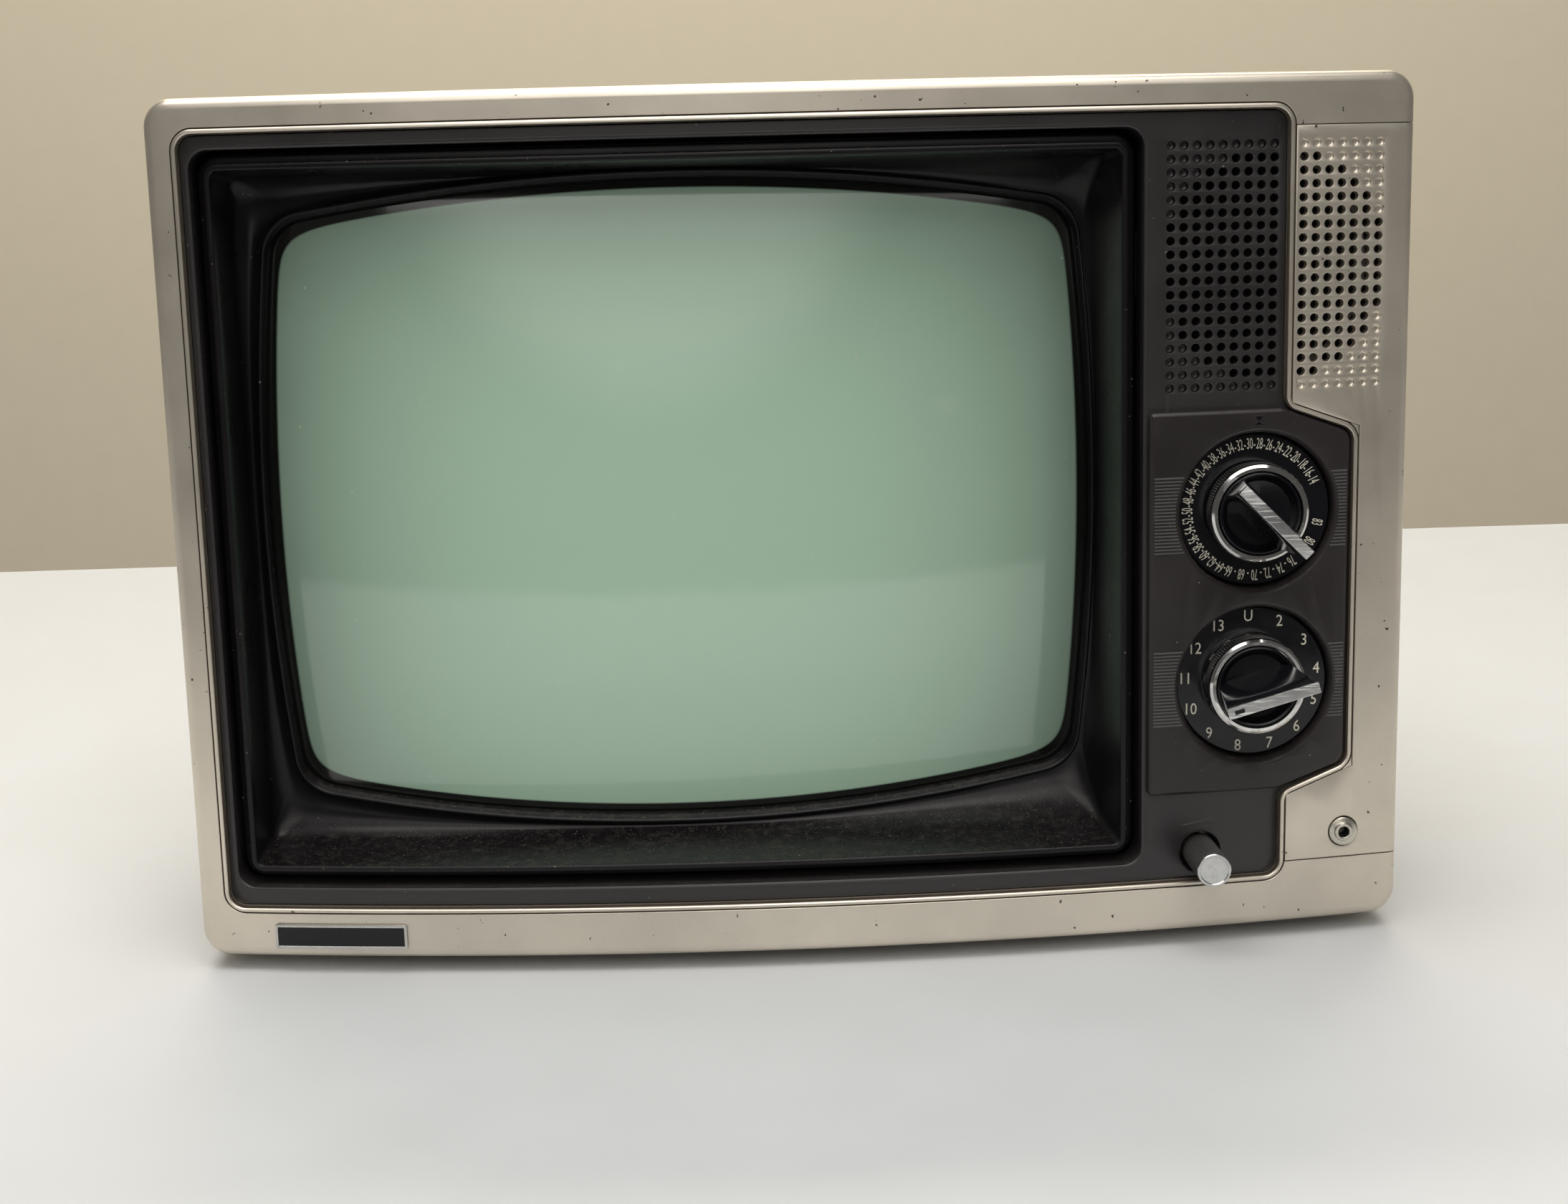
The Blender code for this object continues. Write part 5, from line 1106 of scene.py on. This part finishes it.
def telescope():
    """Three chromed tubes on one pivot, with a turned tip on the thinnest."""
    base_low, base_high = layout_box("antenna_base")
    pivot = Vector(((base_low.x + base_high.x) / 2, (base_low.y + base_high.y) / 2, 249 * MM))
    outer = [(0, 8), (2.9, 8), (2.9, 262), (3.2, 262), (3.4, 261.6), (3.4, 256), (3.25, 255.5), (3.25, 9), (3.4, 8.5),
             (3.4, 3), (0, 3)]
    middle = [(0, 12), (2.1, 12), (2.1, 265), (2.45, 265), (2.6, 264.7), (2.6, 9), (0, 9)]
    inner = [(0, 13), (1.8, 13), (1.8, 266), (2.4, 266.2), (3, 267), (3, 271), (2.6, 271.7), (1.8, 272), (0, 272)]
    tubes = [("antenna_rod_1", "antenna_outer_rod", outer), ("antenna_rod_2", "antenna_middle_rod", middle),
             ("antenna_rod_3", "antenna_inner_rod", inner)]
    to_left = Matrix.Rotation(math.pi / 2, 4, "Z")
    for node, body, profile in tubes:
        tube = move(lathe(mm(profile), 40), to_left)
        if node == "antenna_rod_1":
            knuckle = [(1.9, -3.8), (3.9, -3.8), (4.2, -3.5), (4.2, 3.5), (3.9, 3.8), (1.9, 3.8)]
            merge(tube, lathe(mm(knuckle), 40, closed=True))
        piece(node + "_tube", tube, body, ["chrome"], [node], ORIGIN + pivot)


def back_and_sides():
    refined("rear_cover", "cabinet", ["cover"], 0.7 * MM)
    refined("antenna_base", "antenna_swivel_base", ["dark_grey"], 0.35 * MM)
    refined("antenna_terminals", "cabinet", ["board", "nickel"], 0.3 * MM,
            lambda middle: 1 if middle.y > 264.6 * MM else 0)
    refined("power_inlet", "cabinet", ["dark_grey", "nickel"], 0.35 * MM,
            lambda middle: 1 if abs(abs(middle.x - 75 * MM) - 6.35 * MM) < 1.7 * MM
            and abs(middle.z - 44.5 * MM) < 1.7 * MM and middle.y > 251.1 * MM else 0)
    for name in ("brightness", "contrast", "vertical_hold"):
        rear_knob(name + "_knob", name)
    for number in range(1, 5):
        foot(f"foot_{number}")
        cover_screw(f"cover_screw_{number}")
    telescope()


# ---------------------------------------------------------------- carried-over CAD nodes

CARRIED = {
    "steel": ["tuner_bracket", "vhf_tuner", "uhf_tuner", "tube_band", "volume_control", "volume_shaft", "uhf_shaft",
              "vhf_shaft", "speaker_frame", "power_transformer", "tube_screw_1", "tube_screw_2", "tube_screw_3",
              "tube_screw_4"],
    "paper": ["speaker_cone"],
    "copper": ["deflection_yoke"],
    "board": ["main_board", "rear_control_board"],
    "dark_grey": ["tube_socket", "flyback_transformer", "power_switch_slider"],
    "rubber": ["anode_cap", "anode_lead"],
}


def carried_over():
    for look, nodes in CARRIED.items():
        for node in nodes:
            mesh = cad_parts[node].data
            mesh.materials.clear()
            mesh.materials.append(LOOKS[look])


# ---------------------------------------------------------------- camera, light and floor

def studio():
    camera = bpy.data.cameras.new("camera")
    camera.lens = LENS_MM
    camera.sensor_width = SENSOR_MM
    eye = add_object("camera", camera)
    cp, sp = math.cos(PITCH), math.sin(PITCH)
    cr, sr = math.cos(ROLL), math.sin(ROLL)
    tilt = Matrix(((1, 0, 0), (0, cp, sp), (0, -sp, cp)))
    lean = Matrix(((cr, 0, sr), (0, 1, 0), (-sr, 0, cr)))
    turn = Matrix.Rotation(YAW, 3, "Z") @ tilt @ lean
    right, forward, up = turn.col[0], turn.col[1], turn.col[2]
    pose = Matrix((right, up, -forward)).transposed().to_4x4()
    pose.translation = ORIGIN + EYE
    eye.matrix_world = pose
    bpy.context.scene.camera = eye

    def area(name, location, target, size, power, colour):
        light = bpy.data.lights.new(name, "AREA")
        light.shape = "RECTANGLE"
        light.size, light.size_y = size
        light.energy = power
        light.color = colour
        obj = add_object(name, light)
        obj.location = location
        obj.rotation_euler = (Vector(target) - Vector(location)).to_track_quat("-Z", "Y").to_euler()

    area("key", (-0.12, -0.4, 1.5), (0.05, -0.05, 0.1), (1.6, 1.1), 20, (1.0, 0.97, 0.93))
    area("front", (0.05, -2.0, 1.6), (0.05, 0, 0.15), (2.6, 1.4), 17, (1.0, 0.98, 0.95))
    area("wall_wash", (0, 2.0, 3.5), (0, 3.2, 0.5), (3.2, 1.0), 108, (1.0, 0.95, 0.85))
    room_light()
    bpy.context.scene.view_settings.view_transform = "Standard"
    sheet("floor", (-1.6, -0.53), (1.6, 0.73), None, "pale_floor", (0.645, 0.66, 0.675))
    sheet("backdrop", (-5.5, -1.5), (5.5, 4.4), 3.0, "cream_wall", (0.95, 0.85, 0.665))


def room_light():
    """Dim room with one soft bright patch in front of the set, a little above the floor's level."""
    world = bpy.data.worlds.new("studio")
    bpy.context.scene.world = world
    world.use_nodes = True
    tree = world.node_tree
    toward = tree.nodes.new("ShaderNodeVectorMath")
    toward.operation = "DOT_PRODUCT"
    toward.inputs[1].default_value = Vector((-0.05, -1, 0.36)).normalized()
    tree.links.new(tree.nodes.new("ShaderNodeTexCoord").outputs["Generated"], toward.inputs[0])
    patch = tree.nodes.new("ShaderNodeMapRange")
    patch.interpolation_type = "SMOOTHSTEP"
    for socket, value in (("From Min", 0.93), ("From Max", 0.985), ("To Min", 0.09), ("To Max", 1.3)):
        patch.inputs[socket].default_value = value
    tree.links.new(toward.outputs["Value"], patch.inputs["Value"])
    background = tree.nodes["Background"]
    background.inputs["Color"].default_value = (1.0, 0.97, 0.92, 1)
    tree.links.new(patch.outputs["Result"], background.inputs["Strength"])


def sheet(name, low, high, stand_at, look, colour):
    """Level sheet between two (x, y) corners, or an upright one between (x, z) corners when it stands."""
    bm = bmesh.new()
    corners = [(low[0], low[1]), (high[0], low[1]), (high[0], high[1]), (low[0], high[1])]
    points = [(a, b, 0) if stand_at is None else (a, stand_at, b) for a, b in corners]
    bm.faces.new([bm.verts.new(point) for point in points])
    obj = add_object(name, to_mesh(name, bm))
    obj.data.materials.append(plain(look, colour, 0.6, scale=200, bump=0.05, spread=0.03))


front_frame()
side_panel()
front_mask()
screen_bezel()
picture_tube()
tuner_plate()
dials()
knob_ring("uhf_ring_knurled", UHF, "uhf_tuning", "uhf_knob_ring", False)
knob_ring("vhf_ring_knurled", VHF, "vhf_fine_tuning", "vhf_fine_ring", True)
knob_core("uhf_knob_core", UHF, "uhf_tuning", "uhf_knob", UHF_TURN, -0.5)
knob_core("vhf_knob_core", VHF, "vhf_selector", "vhf_knob", VHF_TURN, -1.5)
knob_strip("uhf_strip", UHF, "uhf_tuning", "uhf_knob_strip", UHF_TURN, False)
knob_strip("vhf_strip", VHF, "vhf_selector", "vhf_knob_strip", VHF_TURN, True)
volume_knob()
earphone_jack()
badge()
back_and_sides()
carried_over()
studio()
